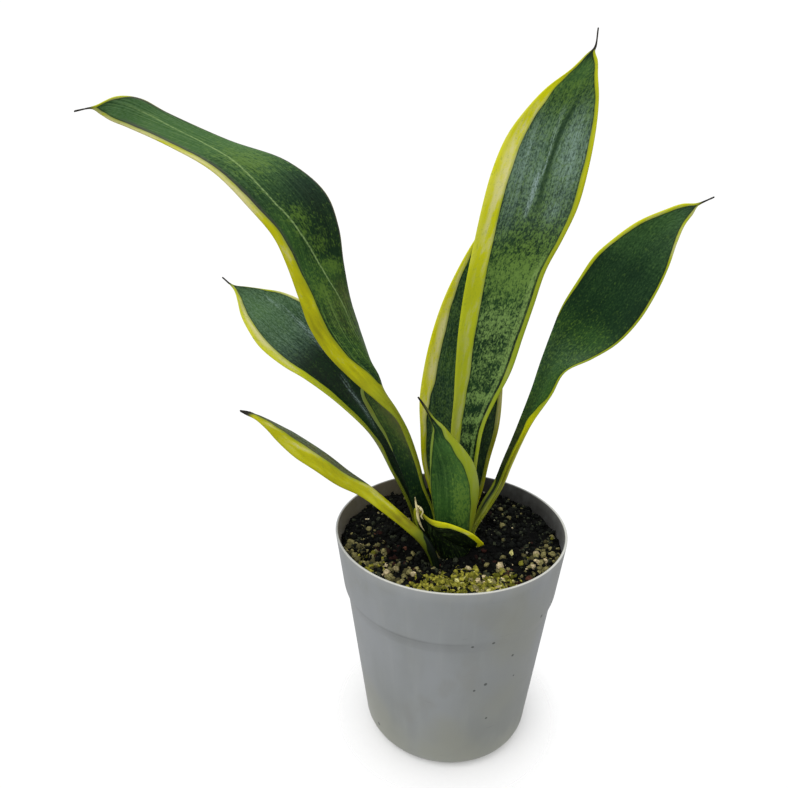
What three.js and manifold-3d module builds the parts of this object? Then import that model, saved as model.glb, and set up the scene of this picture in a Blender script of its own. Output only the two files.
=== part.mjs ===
// Potted snake plant: a tapered nursery pot filled with potting mix, a buried
// rhizome with its roots, and eight sword-shaped leaves that stand in the mix.
// Millimetres, +Z up. The origin is the centre of the pot's underside.
import * as THREE from 'three';
import { mergeVertices } from 'three/addons/utils/BufferGeometryUtils.js';
import Module from 'manifold-3d';

const wasm = await Module();
wasm.setup();

// ---------------------------------------------------------------- dimensions

const GAP = 0.3; // clearance between neighbouring pieces

const POT = {
  height: 120,
  rimRadius: 60,
  bandRadius: 56.3, // outside, at the foot of the upper band
  bandFoot: 89.5,
  stepRadius: 54.2, // outside, at the top of the lower body
  stepFoot: 83,
  footRadius: 45.2, // outside, where the bottom corner starts
  cornerRadius: 8,
  cornerSteps: 4,
  wall: 1.2,
  floor: 1.6,
  segments: 48,
};

const DRAIN = { radius: 3.5, ring: 31, count: 8, sides: 12 };

const SOIL = {
  level: 111, // height of the surface at the pot's wall
  mound: 1.5, // how far the middle stands above that
  lumps: 0.9,
  rings: 6,
  segments: 48,
  grains: 48,
  grainMin: 1.4,
  grainMax: 3.0,
  seed: 7,
};

const RHIZOME = {
  top: 101,
  // x, y, half-length, half-width, half-height, turn about z in degrees
  lobes: [
    [0, 6, 15, 12, 10, 20],
    [-9, 5, 10, 11, 9, 0],
    [-5, -12, 12, 11, 8, -15],
    [9, 14, 10, 11, 9, 60],
  ],
  rootRadius: 1.6,
  rootCount: 6,
  rootReach: 34,
  rootDrop: 70,
};

const BLADE = {
  baseThickness: 2.8,
  midThickness: 2,
  tipThickness: 0.7,
  marginThickness: 0.9,
  across: 5, // points from margin to margin
  ringsPerStation: 2,
};

// A leaf is a strip between two margins. Each row is one station along it:
// left margin x, y, z, right margin x, y, z, and how far the middle of the
// blade sinks behind the line between the margins (negative: it stands out).
const LEAVES = {
  leaf_arching: [
    [-14, 5, 97, -6, 1, 97, 3],
    [-15, 4, 110, -7, -2, 113, 3],
    [-18, 4, 121, -9, -3, 128, 4],
    [-22, 6, 137, -15, -5, 144, 4],
    [-27, 7, 151, -18.5, -6, 157, 5],
    [-34, 9, 166, -23.5, -8, 172, 6],
    [-41, 9, 178, -28, -10, 183, 6],
    [-46, 8.5, 190, -37, -13.5, 193.5, 7],
    [-44, 6.5, 200, -49, -16, 205.5, 8.5],
    [-43, 3, 212, -60, -18, 218.5, 8],
    [-46, -0.5, 226, -66.5, -20.5, 231, 6],
    [-49.5, -3.5, 239.5, -70, -23.5, 244, 4],
    [-52, -8, 257.5, -74.5, -26, 260, 2],
    [-53.5, -11, 273, -78.5, -29, 271, 1],
    [-58.5, -13.5, 287.5, -86.5, -31.5, 282, 1],
    [-73, -17.5, 300, -99.5, -34.5, 296.5, 1],
    [-95, -23.5, 308, -115.5, -36, 306, 1],
    [-116.5, -30.5, 318, -129.5, -37, 312.5, 1],
    [-124.5, -34.5, 322.5, -135.5, -37.5, 315, 1],
    [-132, -38, 323, -138.5, -38, 317, 0],
    [-140.5, -39.7, 319.5, -141, -39.5, 318.8, 0],
    [-147, -41, 318, -147.1, -41, 317.7, 0],
  ],
  leaf_mid_left: [
    [-17, 10, 97, -9, 14, 97, 3],
    [-19, 11, 116, -11, 16, 118, 3],
    [-24, 12, 132, -17, 20, 132, 4],
    [-30.5, 13.5, 144.5, -22, 24.5, 146.5, 5],
    [-37, 15.5, 159.5, -28, 29.5, 158.5, 6],
    [-47, 17.5, 170, -34, 34.5, 174, 7],
    [-61, 20.5, 182, -44, 39.5, 189, 8],
    [-76, 22.5, 193, -53.5, 44.5, 204.5, 7],
    [-87, 25, 199, -61.5, 48, 215, 6],
    [-99, 28.5, 208, -72.5, 50.5, 223, 5],
    [-105, 31.5, 216, -82, 51.5, 229, 4],
    [-109.5, 36, 223.5, -91.5, 52, 232.5, 3],
    [-111.5, 40, 229.5, -99.5, 51, 234, 2],
    [-113.5, 44, 234, -108.5, 50, 235.5, 1],
    [-116, 47.3, 236.5, -115.3, 47.7, 237, 0],
    [-121.3, 50, 240.5, -121, 50, 240.8, 0],
  ],
  leaf_tall: [
    [3, 8, 97, 11, 8, 97, 4],
    [3, 8, 115, 12, 8, 118, 4],
    [1, 8, 136, 13, 8, 136, 4],
    [0, 8, 153, 14, 9, 154, 4],
    [0, 10, 169.5, 17, 11, 171.5, 4],
    [1, 11, 185.5, 22.5, 13, 184.5, 4],
    [1.5, 13, 201, 29.5, 15, 199, 4],
    [2.5, 15.5, 218, 35, 18.5, 216, 4],
    [4.5, 19.5, 233.5, 40, 21.5, 231.5, 4],
    [7, 22, 248.5, 45.5, 25, 248.5, 4],
    [10, 25.5, 263, 53, 27.5, 263, 4],
    [13.5, 29, 279, 60, 31, 278, 4],
    [18, 32.5, 295.5, 64, 33.5, 294.5, 3],
    [25, 36, 311.5, 67, 37, 313.5, 3],
    [34.5, 38, 324, 67.5, 39, 328, 2],
    [43, 39.5, 332.5, 66.5, 40.5, 337.5, 1],
    [54, 40.5, 340.5, 66, 41.5, 344, 1],
    [61, 42, 347, 64.5, 42, 348, 0],
    [64.3, 42, 350, 65, 42, 350, 0],
    [65.3, 43, 358, 65.6, 43, 358, 0],
  ],
  leaf_behind: [
    [-1, 20, 97, 11, 20, 97, 3],
    [-4, 20, 111, 14, 20, 111, 4],
    [-10, 21, 129, 19, 21, 129, 5],
    [-14, 24, 144.5, 22.5, 24, 145.5, 5],
    [-15, 27.5, 162, 27, 27.5, 163, 5],
    [-15.5, 31, 177.5, 28.5, 31, 177.5, 5],
    [-13.5, 35, 193, 29, 35, 193, 5],
    [-9.5, 39, 211, 30.5, 39, 211, 4],
    [-3.5, 43, 229, 30.5, 43, 227, 3],
    [4, 46.5, 245, 31, 46.5, 242, 2],
    [12.5, 50, 259.5, 29, 50, 256.5, 1],
    [20, 51.5, 269.5, 27, 51.5, 267.5, 1],
    [23.2, 53, 276, 24.2, 53, 276, 0],
    [25.5, 54, 283, 25.8, 54, 283, 0],
  ],
  leaf_right: [
    [9.5, 1.5, 94, 11.5, -0.5, 94, 0.5],
    [10.8, 2.2, 113.5, 12.2, 0.5, 114.5, 0.8],
    [16, 7, 126.5, 20.5, 3.5, 127.5, 2],
    [23.5, 12, 137.5, 26.5, 8, 137.5, 3],
    [27.5, 11.5, 150.5, 30, 7, 150.5, 3],
    [31.5, 9.5, 164.5, 34.5, 5, 164, 3],
    [35, 7.5, 178, 40, 2.5, 177.5, 3],
    [39, 5.5, 194, 47, -1, 192, 4],
    [41.5, 3, 207.5, 52, -3, 204.5, 4],
    [45.5, 1, 224, 63.5, -5.5, 212, 4],
    [49, 0, 236, 73.5, -8, 220, 4],
    [55, -2, 249, 82, -9.5, 231.5, 3],
    [60.5, -4.5, 260, 88, -10.5, 245, 3],
    [68, -5, 267.5, 91.5, -11, 256.5, 2],
    [77.5, -6, 275, 94, -10, 266.5, 2],
    [88.5, -6.5, 280, 97, -8.5, 274, 1],
    [95.5, -7, 282.5, 100.5, -7, 278.5, 0],
    [102, -7, 282.8, 102.3, -6.8, 281.8, 0],
    [109.1, -6, 285.5, 109.2, -6, 285.2, 0],
  ],
  leaf_centre: [
    [-4, -8, 97, 8, -7, 97, -3],
    [-6, -8, 112, 9, -7, 112, -3],
    [-8, -8, 124, 11, -7, 124, -3],
    [-9.5, -8, 134, 12.5, -7, 135, -3],
    [-11, -8, 146, 13, -7, 146, -3],
    [-11.5, -8, 158, 10, -7, 158, -2],
    [-11.5, -8, 167, 5, -7, 166, -2],
    [-11, -8, 173, -1, -7, 173, -1],
    [-10.5, -8, 178, -6, -7, 179, -0.5],
    [-12, -7, 182, -10, -7, 182.5, 0],
    [-14.3, -7, 187, -13.3, -7, 187.3, 0],
    [-18.2, -7, 193.4, -17.8, -7, 193.6, 0],
  ],
  leaf_low: [
    [-10, -28, 99, -7, -25, 99, -1],
    [-11, -28, 113, -8, -25, 114, -1],
    [-16, -28, 124.5, -13, -23.5, 124.5, -2],
    [-24, -29, 134, -21, -22.5, 132.5, -2],
    [-34, -31.5, 144.5, -30, -23, 142.5, -2],
    [-44.5, -34.5, 155, -41.5, -23.5, 152.5, -3],
    [-55, -38.5, 163, -52, -25.5, 162, -4],
    [-64.5, -41.5, 172, -61, -27.5, 170, -5],
    [-72.5, -44, 179.5, -69.5, -29, 177.5, -5],
    [-79, -46.5, 188, -77, -32.5, 185, -4],
    [-83, -48.5, 194.5, -82.5, -37.5, 192, -2],
    [-87, -50, 199.5, -87, -44, 198, -1],
    [-90.5, -50, 201.5, -90, -48, 202, 0],
    [-93, -50.5, 203.2, -93, -50.5, 203.6, 0],
  ],
  leaf_sheath: [
    [-3, -16, 99, 6, -17, 99, -2],
    [-7, -17, 112, 6, -17, 110, -3],
    [-13, -18, 122, 7.5, -17, 113, -3.5],
    [-19, -18.5, 132, 8.5, -16.5, 115, -4],
    [-19, -20, 140.5, 9, -16.5, 116, -3.5],
    [-12, -22.5, 136, 9.5, -16.5, 116, -3],
    [-3, -23.5, 134, 10.5, -16.5, 116.5, -2],
    [4, -22.5, 130.5, 11.5, -16.5, 116.5, -1.5],
    [10, -20.5, 126, 12.7, -17, 117, -0.7],
    [15, -18.5, 120, 15.4, -18, 119, 0],
  ],
};

// ------------------------------------------------------------------- helpers

function material(hex, roughness) {
  return new THREE.MeshStandardMaterial({ color: hex, roughness, metalness: 0 });
}

// Repeatable random numbers from 0 to 1.
function seeded(seed) {
  let state = seed;
  return () => {
    state = (state * 16807) % 2147483647;
    return state / 2147483647;
  };
}

function toSolid(geometry) {
  const bare = geometry.clone();
  bare.deleteAttribute('normal');
  bare.deleteAttribute('uv');
  const merged = mergeVertices(bare, 1e-4);
  return new wasm.Manifold(new wasm.Mesh({
    numProp: 3,
    vertProperties: new Float32Array(merged.attributes.position.array),
    triVerts: new Uint32Array(merged.index.array),
  }));
}

function toGeometry(solid) {
  const mesh = solid.getMesh();
  const geometry = new THREE.BufferGeometry();
  geometry.setAttribute('position', new THREE.BufferAttribute(mesh.vertProperties, 3));
  geometry.setIndex(new THREE.BufferAttribute(mesh.triVerts, 1));
  geometry.computeVertexNormals();
  return geometry;
}

function named(name, solid, look) {
  const mesh = new THREE.Mesh(toGeometry(solid), look);
  mesh.name = name;
  return mesh;
}

// A profile of [radius, z] points turned about the z axis.
function turned(profile, segments) {
  const points = profile.map(([r, z]) => new THREE.Vector2(r, z));
  const geometry = new THREE.LatheGeometry(points, segments);
  return geometry.rotateX(Math.PI / 2);
}

// ----------------------------------------------------------------------- pot

// The wall's outer face moved inwards by `inset`, from the floor's edge up.
function wallProfile(inset, floorHeight, topHeight) {
  const { cornerRadius, cornerSteps } = POT;
  const bend = cornerRadius - inset;
  const centre = [POT.footRadius - cornerRadius, cornerRadius];
  const points = [];
  for (let i = 0; i <= cornerSteps; i += 1) {
    const turn = (Math.PI / 2) * (i / cornerSteps);
    points.push([
      centre[0] + bend * Math.sin(turn),
      Math.max(centre[1] - bend * Math.cos(turn), floorHeight),
    ]);
  }
  points.push([POT.stepRadius - inset, POT.stepFoot]);
  points.push([POT.bandRadius - inset, POT.bandFoot]);
  const slope = (POT.rimRadius - POT.bandRadius) / (POT.height - POT.bandFoot);
  points.push([POT.rimRadius - inset - slope * (POT.height - topHeight), topHeight]);
  return points;
}

function potSolid() {
  const outside = wallProfile(0, 0, POT.height);
  const inside = wallProfile(POT.wall, POT.floor, POT.height);
  const shell = toSolid(turned([[0, 0], ...outside, ...inside.reverse(), [0, POT.floor]], POT.segments));
  const drill = new THREE.CylinderGeometry(DRAIN.radius, DRAIN.radius, 4 * POT.floor, DRAIN.sides);
  drill.rotateX(Math.PI / 2).translate(DRAIN.ring, 0, 0);
  let pot = shell;
  for (let i = 0; i < DRAIN.count; i += 1) {
    const hole = drill.clone().rotateZ((2 * Math.PI * i) / DRAIN.count);
    pot = pot.subtract(toSolid(hole));
  }
  return pot;
}

// -------------------------------------------------------------------- leaves

// The margins and the sink of the middle, as smooth curves along the leaf.
function leafCurves(rows) {
  const through = (pick) => new THREE.CatmullRomCurve3(rows.map(pick), false, 'centripetal');
  return {
    left: through((row) => new THREE.Vector3(row[0], row[1], row[2])),
    right: through((row) => new THREE.Vector3(row[3], row[4], row[5])),
    sink: through((row, i) => new THREE.Vector3(row[6], i, 0)),
  };
}

function bladeThickness(along) {
  const { baseThickness, midThickness, tipThickness } = BLADE;
  if (along < 0.5) return THREE.MathUtils.lerp(baseThickness, midThickness, along / 0.5);
  return THREE.MathUtils.lerp(midThickness, tipThickness, (along - 0.5) / 0.5);
}

// A leaf as a closed strip, thick in the middle and thin at its margins.
// `grow` swells it evenly, for the hole that the leaf stands in.
function leafGeometry(rows, grow = 0) {
  const curves = leafCurves(rows);
  const rings = (rows.length - 1) * BLADE.ringsPerStation;
  const upper = [];
  const lower = [];
  for (let ring = 0; ring <= rings; ring += 1) {
    const along = ring / rings;
    const left = curves.left.getPoint(along);
    const right = curves.right.getPoint(along);
    const sink = curves.sink.getPoint(along).x;
    const run = curves.left.getTangent(along).add(curves.right.getTangent(along)).normalize();
    const across = right.clone().sub(left);
    const half = across.length() / 2;
    across.normalize();
    const facing = across.clone().cross(run).normalize();
    const centre = left.clone().add(right).multiplyScalar(0.5);
    const reach = (ring === 0 ? -grow : 0) + (ring === rings ? grow : 0);
    centre.addScaledVector(run, reach);
    for (let i = 0; i < BLADE.across; i += 1) {
      const u = (2 * i) / (BLADE.across - 1) - 1;
      const bow = 1 - u * u;
      const lean = Math.hypot(half, 2 * sink * u);
      const thickness = THREE.MathUtils.lerp(
        Math.min(BLADE.marginThickness, bladeThickness(along)), bladeThickness(along), bow);
      const offset = thickness / 2 + grow;
      const middle = centre.clone()
        .addScaledVector(across, u * (half + grow))
        .addScaledVector(facing, -sink * bow);
      const out = across.clone().multiplyScalar((-2 * sink * u) / lean)
        .addScaledVector(facing, half / lean);
      upper.push(middle.clone().addScaledVector(out, offset));
      lower.push(middle.clone().addScaledVector(out, -offset));
    }
  }
  return stripGeometry(upper, lower, rings + 1, BLADE.across);
}

// Closes two like grids of points into one body, split alike on both faces.
function stripGeometry(upper, lower, rows, columns) {
  const points = [...upper, ...lower];
  const under = upper.length;
  const index = [];
  const quad = (a, b, c, d) => index.push(a, b, c, a, c, d);
  for (let r = 0; r < rows - 1; r += 1) {
    for (let c = 0; c < columns - 1; c += 1) {
      const at = r * columns + c;
      quad(at, at + 1, at + columns + 1, at + columns);
      index.push(under + at, under + at + columns + 1, under + at + 1);
      index.push(under + at, under + at + columns, under + at + columns + 1);
    }
    const first = r * columns;
    const last = first + columns - 1;
    quad(first, first + columns, under + first + columns, under + first);
    quad(last, under + last, under + last + columns, last + columns);
  }
  const end = (rows - 1) * columns;
  for (let c = 0; c < columns - 1; c += 1) {
    quad(c, under + c, under + c + 1, c + 1);
    quad(end + c, end + c + 1, under + end + c + 1, under + end + c);
  }
  const geometry = new THREE.BufferGeometry();
  geometry.setAttribute('position', new THREE.Float32BufferAttribute(points.flatMap((p) => p.toArray()), 3));
  geometry.setIndex(index);
  return geometry;
}

// ------------------------------------------------------- rhizome and its roots

function lobe([x, y, length, width, height, turn], grow) {
  const ball = new THREE.IcosahedronGeometry(1, 1);
  ball.scale(length + grow, width + grow, height + grow);
  ball.rotateZ(THREE.MathUtils.degToRad(turn));
  return ball.translate(x, y, RHIZOME.top - height);
}

// One root: it leaves the rhizome sideways, then bends down to the floor.
function root(i, grow) {
  const turn = (2 * Math.PI * (i + 0.35 * Math.sin(3 * i))) / RHIZOME.rootCount;
  const reach = RHIZOME.rootReach - 4 * (i % 3);
  const start = RHIZOME.top - 12;
  const path = new THREE.CatmullRomCurve3([
    new THREE.Vector3(6 * Math.cos(turn), 4 + 6 * Math.sin(turn), start),
    new THREE.Vector3(0.55 * reach * Math.cos(turn), 0.55 * reach * Math.sin(turn), start - 8),
    new THREE.Vector3(0.9 * reach * Math.cos(turn + 0.2), 0.9 * reach * Math.sin(turn + 0.2), start - 30),
    new THREE.Vector3(reach * Math.cos(turn + 0.3), reach * Math.sin(turn + 0.3), start - RHIZOME.rootDrop),
  ]);
  const section = new THREE.Shape();
  section.absarc(0, 0, RHIZOME.rootRadius + grow, 0, 2 * Math.PI);
  return new THREE.ExtrudeGeometry(section, { steps: 7, curveSegments: 3, extrudePath: path });
}

function rhizomeSolid(grow = 0) {
  const lobes = RHIZOME.lobes.map((shape) => toSolid(lobe(shape, grow)));
  const roots = Array.from({ length: RHIZOME.rootCount }, (_, i) => toSolid(root(i, grow)));
  return [...lobes, ...roots].reduce((body, piece) => body.add(piece));
}

// ---------------------------------------------------------------------- soil

function soilHeight(x, y) {
  const out = Math.hypot(x, y) / POT.rimRadius;
  const wave = Math.sin(0.31 * x + 1.7 * Math.cos(0.23 * y)) + Math.sin(0.37 * y + 1.3 * Math.sin(0.29 * x));
  return SOIL.level + SOIL.mound * (1 - out * out) + (SOIL.lumps / 2) * wave;
}

function soilBlock() {
  const inset = POT.wall + GAP;
  const side = wallProfile(inset, POT.floor + GAP, SOIL.level);
  const edge = side[side.length - 1][0];
  const top = [];
  for (let ring = SOIL.rings - 1; ring >= 0; ring -= 1) top.push([(edge * ring) / SOIL.rings, SOIL.level]);
  const block = turned([[0, POT.floor + GAP], ...side, ...top], SOIL.segments);
  const position = block.attributes.position;
  for (let i = 0; i < position.count; i += 1) {
    const isTop = position.getZ(i) > SOIL.level - 1e-3;
    const x = position.getX(i);
    const y = position.getY(i);
    if (isTop && Math.hypot(x, y) < edge - 0.1) position.setZ(i, soilHeight(x, y));
  }
  return { solid: toSolid(block), edge };
}

// Grains of pumice and bark, sunk by half into the surface.
function grains(edge) {
  const random = seeded(SOIL.seed);
  const list = [];
  for (let i = 0; i < SOIL.grains; i += 1) {
    const size = THREE.MathUtils.lerp(SOIL.grainMin, SOIL.grainMax, random() ** 2);
    const radius = (edge - SOIL.grainMax - 1) * Math.sqrt(0.1 + 0.9 * random());
    const turn = 2 * Math.PI * random();
    const x = radius * Math.cos(turn);
    const y = radius * Math.sin(turn);
    const grain = new THREE.IcosahedronGeometry(size, 0);
    grain.scale(1, 0.8, 0.75).rotateX(3 * random()).rotateZ(6 * random());
    list.push(toSolid(grain.translate(x, y, soilHeight(x, y))));
  }
  return list;
}

function soilSolid(leafHoles) {
  const { solid, edge } = soilBlock();
  const rough = grains(edge).reduce((body, grain) => body.add(grain), solid);
  const carved = rough.subtract(rhizomeSolid(GAP));
  return leafHoles.reduce((body, hole) => body.subtract(hole), carved);
}

// ------------------------------------------------------------------ assembly

const leafHoles = Object.values(LEAVES).map((rows) => toSolid(leafGeometry(rows, GAP)));
const rhizome = leafHoles.reduce((body, hole) => body.subtract(hole), rhizomeSolid());

const group = new THREE.Group();
group.add(named('pot', potSolid(), material(0x8b8f91, 0.6)));
group.add(named('soil', soilSolid(leafHoles), material(0x1d1a15, 0.95)));
group.add(named('rhizome', rhizome, material(0xc9b48a, 0.8)));
for (const [name, rows] of Object.entries(LEAVES)) {
  group.add(named(name, toSolid(leafGeometry(rows)), material(0x2f5a2c, 0.42)));
}

export default group;
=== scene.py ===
# Potted snake plant: yellow-edged leaves in a grey plastic nursery pot of potting mix.
# The scene is in metres, +Z up. The tables are in millimetres and are scaled by MM, except
# those of the camera, the light and the set, which are in metres.
import math
import random

import bmesh
import bpy
import numpy as np
from mathutils import Euler, Matrix, Vector, noise


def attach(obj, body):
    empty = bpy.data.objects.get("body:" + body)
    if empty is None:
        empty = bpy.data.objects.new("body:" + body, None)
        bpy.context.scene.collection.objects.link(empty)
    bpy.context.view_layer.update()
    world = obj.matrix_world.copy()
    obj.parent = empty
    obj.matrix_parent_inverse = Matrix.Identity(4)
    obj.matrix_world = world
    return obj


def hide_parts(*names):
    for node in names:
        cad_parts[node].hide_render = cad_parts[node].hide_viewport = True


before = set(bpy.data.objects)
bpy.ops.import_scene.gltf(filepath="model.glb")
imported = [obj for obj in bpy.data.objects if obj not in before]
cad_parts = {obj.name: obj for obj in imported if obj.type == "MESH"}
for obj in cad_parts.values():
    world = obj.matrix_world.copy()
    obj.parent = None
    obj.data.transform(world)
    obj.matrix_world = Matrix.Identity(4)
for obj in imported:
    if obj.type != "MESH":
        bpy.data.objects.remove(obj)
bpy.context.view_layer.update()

MM = 0.001

# --- dimensions

POT = {
    "height": 120,
    "rim_radius": 60,
    "band_radius": 56.3,  # outside, at the foot of the upper band
    "band_foot": 89.5,
    "step_radius": 54.2,  # outside, at the top of the lower body
    "step_foot": 83,
    "step_round": 1.2,  # rounding of the edges above and below the step
    "foot_radius": 45.2,  # outside, where the bottom corner starts
    "corner_radius": 8,
    "corner_steps": 10,
    "wall": 1.2,
    "floor": 1.6,
    "lip": 0.45,  # rounding of the rim's edges
    "longest_row": 6,
    "segments": 192,
}
DRAIN = {"radius": 3.5, "ring": 31, "count": 8, "sides": 40}

# Specks of dirt on the pot: x, y, z and radius.
POT_SPECKS = [
    (17, -53, 88, 0.55), (7, -55, 87.5, 0.5), (28, -45, 74, 0.5), (15, -49, 60, 0.6),
    (9.5, -50, 57, 0.45), (42.4, -37.2, 90.7, 0.6), (17, -45.5, 35, 0.45), (-37.5, -25.5, 11, 0.7),
    (30, -41.5, 58.5, 0.35), (-20, 50, 70, 0.7), (48, 22, 52, 0.6), (-49, 12, 40, 0.6),
]
# Dusty, warmer patches on the pot: x, y, z, reach and share.
POT_PATCHES = [
    (-33, -28, 4, 32, 0.9), (-39, -26, 24, 24, 0.6), (2, -48, 22, 22, 0.7), (10, -45, 8, 24, 0.8),
    (30, -30, 3, 28, 0.8), (26, -43, 45, 34, 0.6), (29, -46, 84, 32, 0.6), (20, -54, 104, 20, 0.4),
]
# Painted shade: the faint dark line under the band, on the left side of the pot. left, right and
# half_width each say where it is gone and where it is full.
BAND_CREASE_SHADE = {
    "height": 89.4,
    "left": (-54, -44),
    "right": (12, -12),
    "half_width": (1.1, 0.3),
    "below": 8,  # how far down its painted shade darkens the step
    "share": 0.2,
}

# Dust and silt on the pot, and light and shade painted on it: a highlight on the rim and shade inside.
POT_WEAR_AND_LIGHT = {
    "dust_top": 60,  # how high the dust rises
    "dust_share": 0.6,
    "silt_and_shade": (-50, 20),  # between which x the silt on the inside gives way to dark stain and painted shade
    "rim": (0.55, 4.2, -10),  # how strong the painted highlight on the rim is: in the middle, and more per metre of x and y
    "rim_mark": (0.5, 0.1),  # how far below the top the rim's painted highlight starts and is full
}
FLAT_FACE = 0.98  # faces that point up or down more than this are shaded flat

SOIL = {
    "gap": 0.3,  # to the pot's wall and floor
    "level": 111,
    "mound": 1.5,
    "lumps": 0.9,
    "waves": ((0.31, 1.7, 0.23), (0.37, 1.3, 0.29)),  # of the lumps, along x and along y
    "crumb_size": 5,
    "crumb_height": 1.5,
    "crumb_drop": 0.3,
    "crumb_fractal": (1.0, 2.0, 4),
    "crumb_slice": 1.3,
    "clear_of_wall": 1,  # how far inside the edge the loose bits stay
    "edge_drop": 0.6,  # how far the mix sinks beside the wall
    "longest_row": 8,
    "rings": 56,
    "segments": 176,
}

# The loose bits of the mix, with what most kinds share in PLAIN_BITS. small and large are radii,
# flat is their height over their width, facets is how finely they are cut, and sunk is how much
# of them the bed hides. They lie everywhere as base says and in heaps, each a weight, x, y and
# reach. Some heaps grow towards the wall, and some kinds keep off the places under the leaves,
# so that these stay dark as painted shade. Stones are single larger bits: x, y, radius, and how
# pale from 0 to 1. The colours are the dull, the bright and, from rare_from up, the rare.
PLAIN_BITS = {
    "flat": 0.9, "facets": 1, "sunk": 0.3, "base": 0, "heaps": [], "to_wall": False,
    "off_shade": False, "stones": [],
}
BITS = {
    "peat_bits": {
        "count": 2400, "seed": 11, "small": 0.5, "large": 2, "lumpy": 0.6, "base": 1,
        "colours": [(3, 4, 4), (22, 24, 20), (62, 67, 50)], "rare_from": 0.85,
    },
    "pumice_bits": {
        "count": 540, "seed": 21, "small": 0.6, "large": 2, "lumpy": 0.5, "facets": 2,
        "base": 0.03, "to_wall": True, "off_shade": True,
        "heaps": [(3.2, -42, -22, 26), (1.2, 47, -17, 16), (1.1, 6, -46, 34), (0.6, 42, -28, 20)],
        "colours": [(66, 63, 38), (152, 145, 94), (226, 208, 164)], "rare_from": 0.88,
        "stones": [
            (-53, -9, 2.2, 0.35), (-49, -8, 1.7, 0.6), (-50, -16, 1.5, 0.5), (-48, -19, 2.1, 0.35),
            (-45, -13, 1.5, 0.3), (-43, -11, 0.9, 0.7), (-41, -9, 1, 0.5), (-38, -7, 1.5, 0.35),
            (-35, -4, 1.2, 0.65), (-32, -4, 1, 0.5), (-38, -24, 1.5, 0.65), (-35, -21, 1, 0.6),
            (-37, -31, 0.8, 0.6), (-33, -33, 1.8, 0.95), (-35, -34, 0.7, 0.95), (-32, -27, 0.5, 0.95),
            (-30, -37, 1.2, 0.7), (-30, -38, 0.5, 0.95), (-24, -35, 1.5, 0.4), (-21, -37, 0.7, 0.6),
            (-20, -17, 1.7, 0.55), (-47, 11, 1.5, 0.4), (-43, 7, 1.9, 0.5), (-40, 6, 1, 0.5),
            (-45, 20, 0.6, 0.95), (-36, 22, 0.7, 0.75), (-17, -32, 1, 0.4), (16, -27, 1.6, 0.6),
            (22, -29, 2.2, 0.95), (26, -30, 1.2, 0.75), (25, -20, 1.6, 0.4), (29, -24, 0.7, 0.95),
            (43, -24, 2.3, 0.75), (45, -24, 1.5, 0.75), (49, -20, 1, 0.6), (53, -16, 0.6, 0.95),
            (51, -3, 0.9, 0.75), (41, 13, 0.6, 0.95), (31, 30, 2, 0.6), (34, 19, 1.7, 0.35),
            (40, 35, 1.2, 0.4), (28, -3, 1.2, 0.3), (33, -2, 1.2, 0.3), (36, -34, 1, 0.6),
            (5, -45, 1.2, 0.7), (-4, -40, 1, 0.7),
        ],
    },
    "grit_bits": {
        "count": 760, "seed": 51, "small": 0.25, "large": 1, "lumpy": 0.5, "sunk": 0.1,
        "base": 0.15, "off_shade": True, "heaps": [(0.12, 42, 8, 44), (0.3, -44, 0, 36), (0.6, 0, -42, 30)],
        "colours": [(24, 28, 22), (78, 82, 60), (200, 194, 164)], "rare_from": 0.94,
    },
    "bark_bits": {
        "count": 70, "seed": 31, "small": 0.9, "large": 2.4, "flat": 0.35, "lumpy": 0.5, "facets": 2,
        "base": 0.05, "heaps": [(1, -34, -12, 11), (1, -17, -34, 11), (1, 25, -38, 11), (1, -22, -25, 11)],
        "colours": [(20, 12, 10), (58, 30, 24), (92, 58, 44)], "rare_from": 0.86,
        "stones": [
            (-34, -15, 3, 0.2), (-33, -9, 1.5, 0.15), (-23, -29, 1.8, 0.8), (-25, -32, 1.5, 0.6),
            (25, -36, 2.5, 0.7), (29, -40, 1.7, 0.45), (15, -22, 1.5, 0.3), (20, -24, 1.5, 0.4),
            (39, -20, 1, 0.8), (-12, -40, 1.5, 0.5),
        ],
    },
    "moss_bits": {
        "count": 1700, "seed": 41, "small": 0.4, "large": 1.6, "lumpy": 0.9, "sunk": 0.15,
        "heaps": [(1.8, 2, -46, 18), (1.2, 21, -42, 11), (1, -15, -44, 10), (0.3, -43, -25, 12)],
        "colours": [(84, 86, 24), (176, 170, 68), (232, 226, 146)], "rare_from": 0.9,
        "stones": [
            (-43, -28, 1.7, 0.4), (-41, -32, 1.7, 0.9), (-40, -16, 1.9, 0.3), (-20, -41, 1.5, 0.5),
            (-17, -45, 1.5, 0.6), (-15, -42, 1.5, 0.5), (-14, -44, 1.5, 0.9), (-9, -37, 1.5, 0.5),
            (-7, -42, 1.8, 0.6), (-1, -42, 1.9, 0.7), (3, -38, 1.8, 0.6), (3, -44, 1.5, 0.9),
            (8, -36, 2.5, 0.35), (8, -45, 2.3, 0.9), (12, -45, 1.5, 0.6), (6, -29, 1.5, 0.3),
            (10, -29, 1.6, 0.6), (12, -33, 1.5, 0.5), (16, -35, 1.2, 0.7), (20, -41, 2.3, 0.9),
            (22, -42, 1.5, 0.7), (30, -17, 1.8, 0.95), (34, -23, 2.2, 0.35), (38, -17, 1.5, 0.2),
            (52, -5, 1.5, 0.3), (54, 0, 1.2, 0.25),
        ],
    },
}
# How each bit is shaped from a ball: its width and height for its length, how far it tilts and
# turns in radians, and the noise that makes it lumpy.
BIT = {
    "width": (0.65, 0.95), "height": (0.7, 1), "tilt": (-0.6, 0.6), "turn": (0, 6.28),
    "noise_scale": 1.6, "noise_span": 50,
}
TO_WALL = {"level": 0.25, "start": 34, "over": 20}  # how heaps that grow towards the wall do so
# Painted shade: places under the leaves where the pale bits keep away, so the mix stays dark.
SHADED_GROUND = {"strength": 1.8, "places": [(-26, -4, 18), (8, -16, 18), (26, -8, 12)]}  # x, y and reach
MOSS_CRUST = {"place": (2, -50, 111), "reach": 22}

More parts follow.
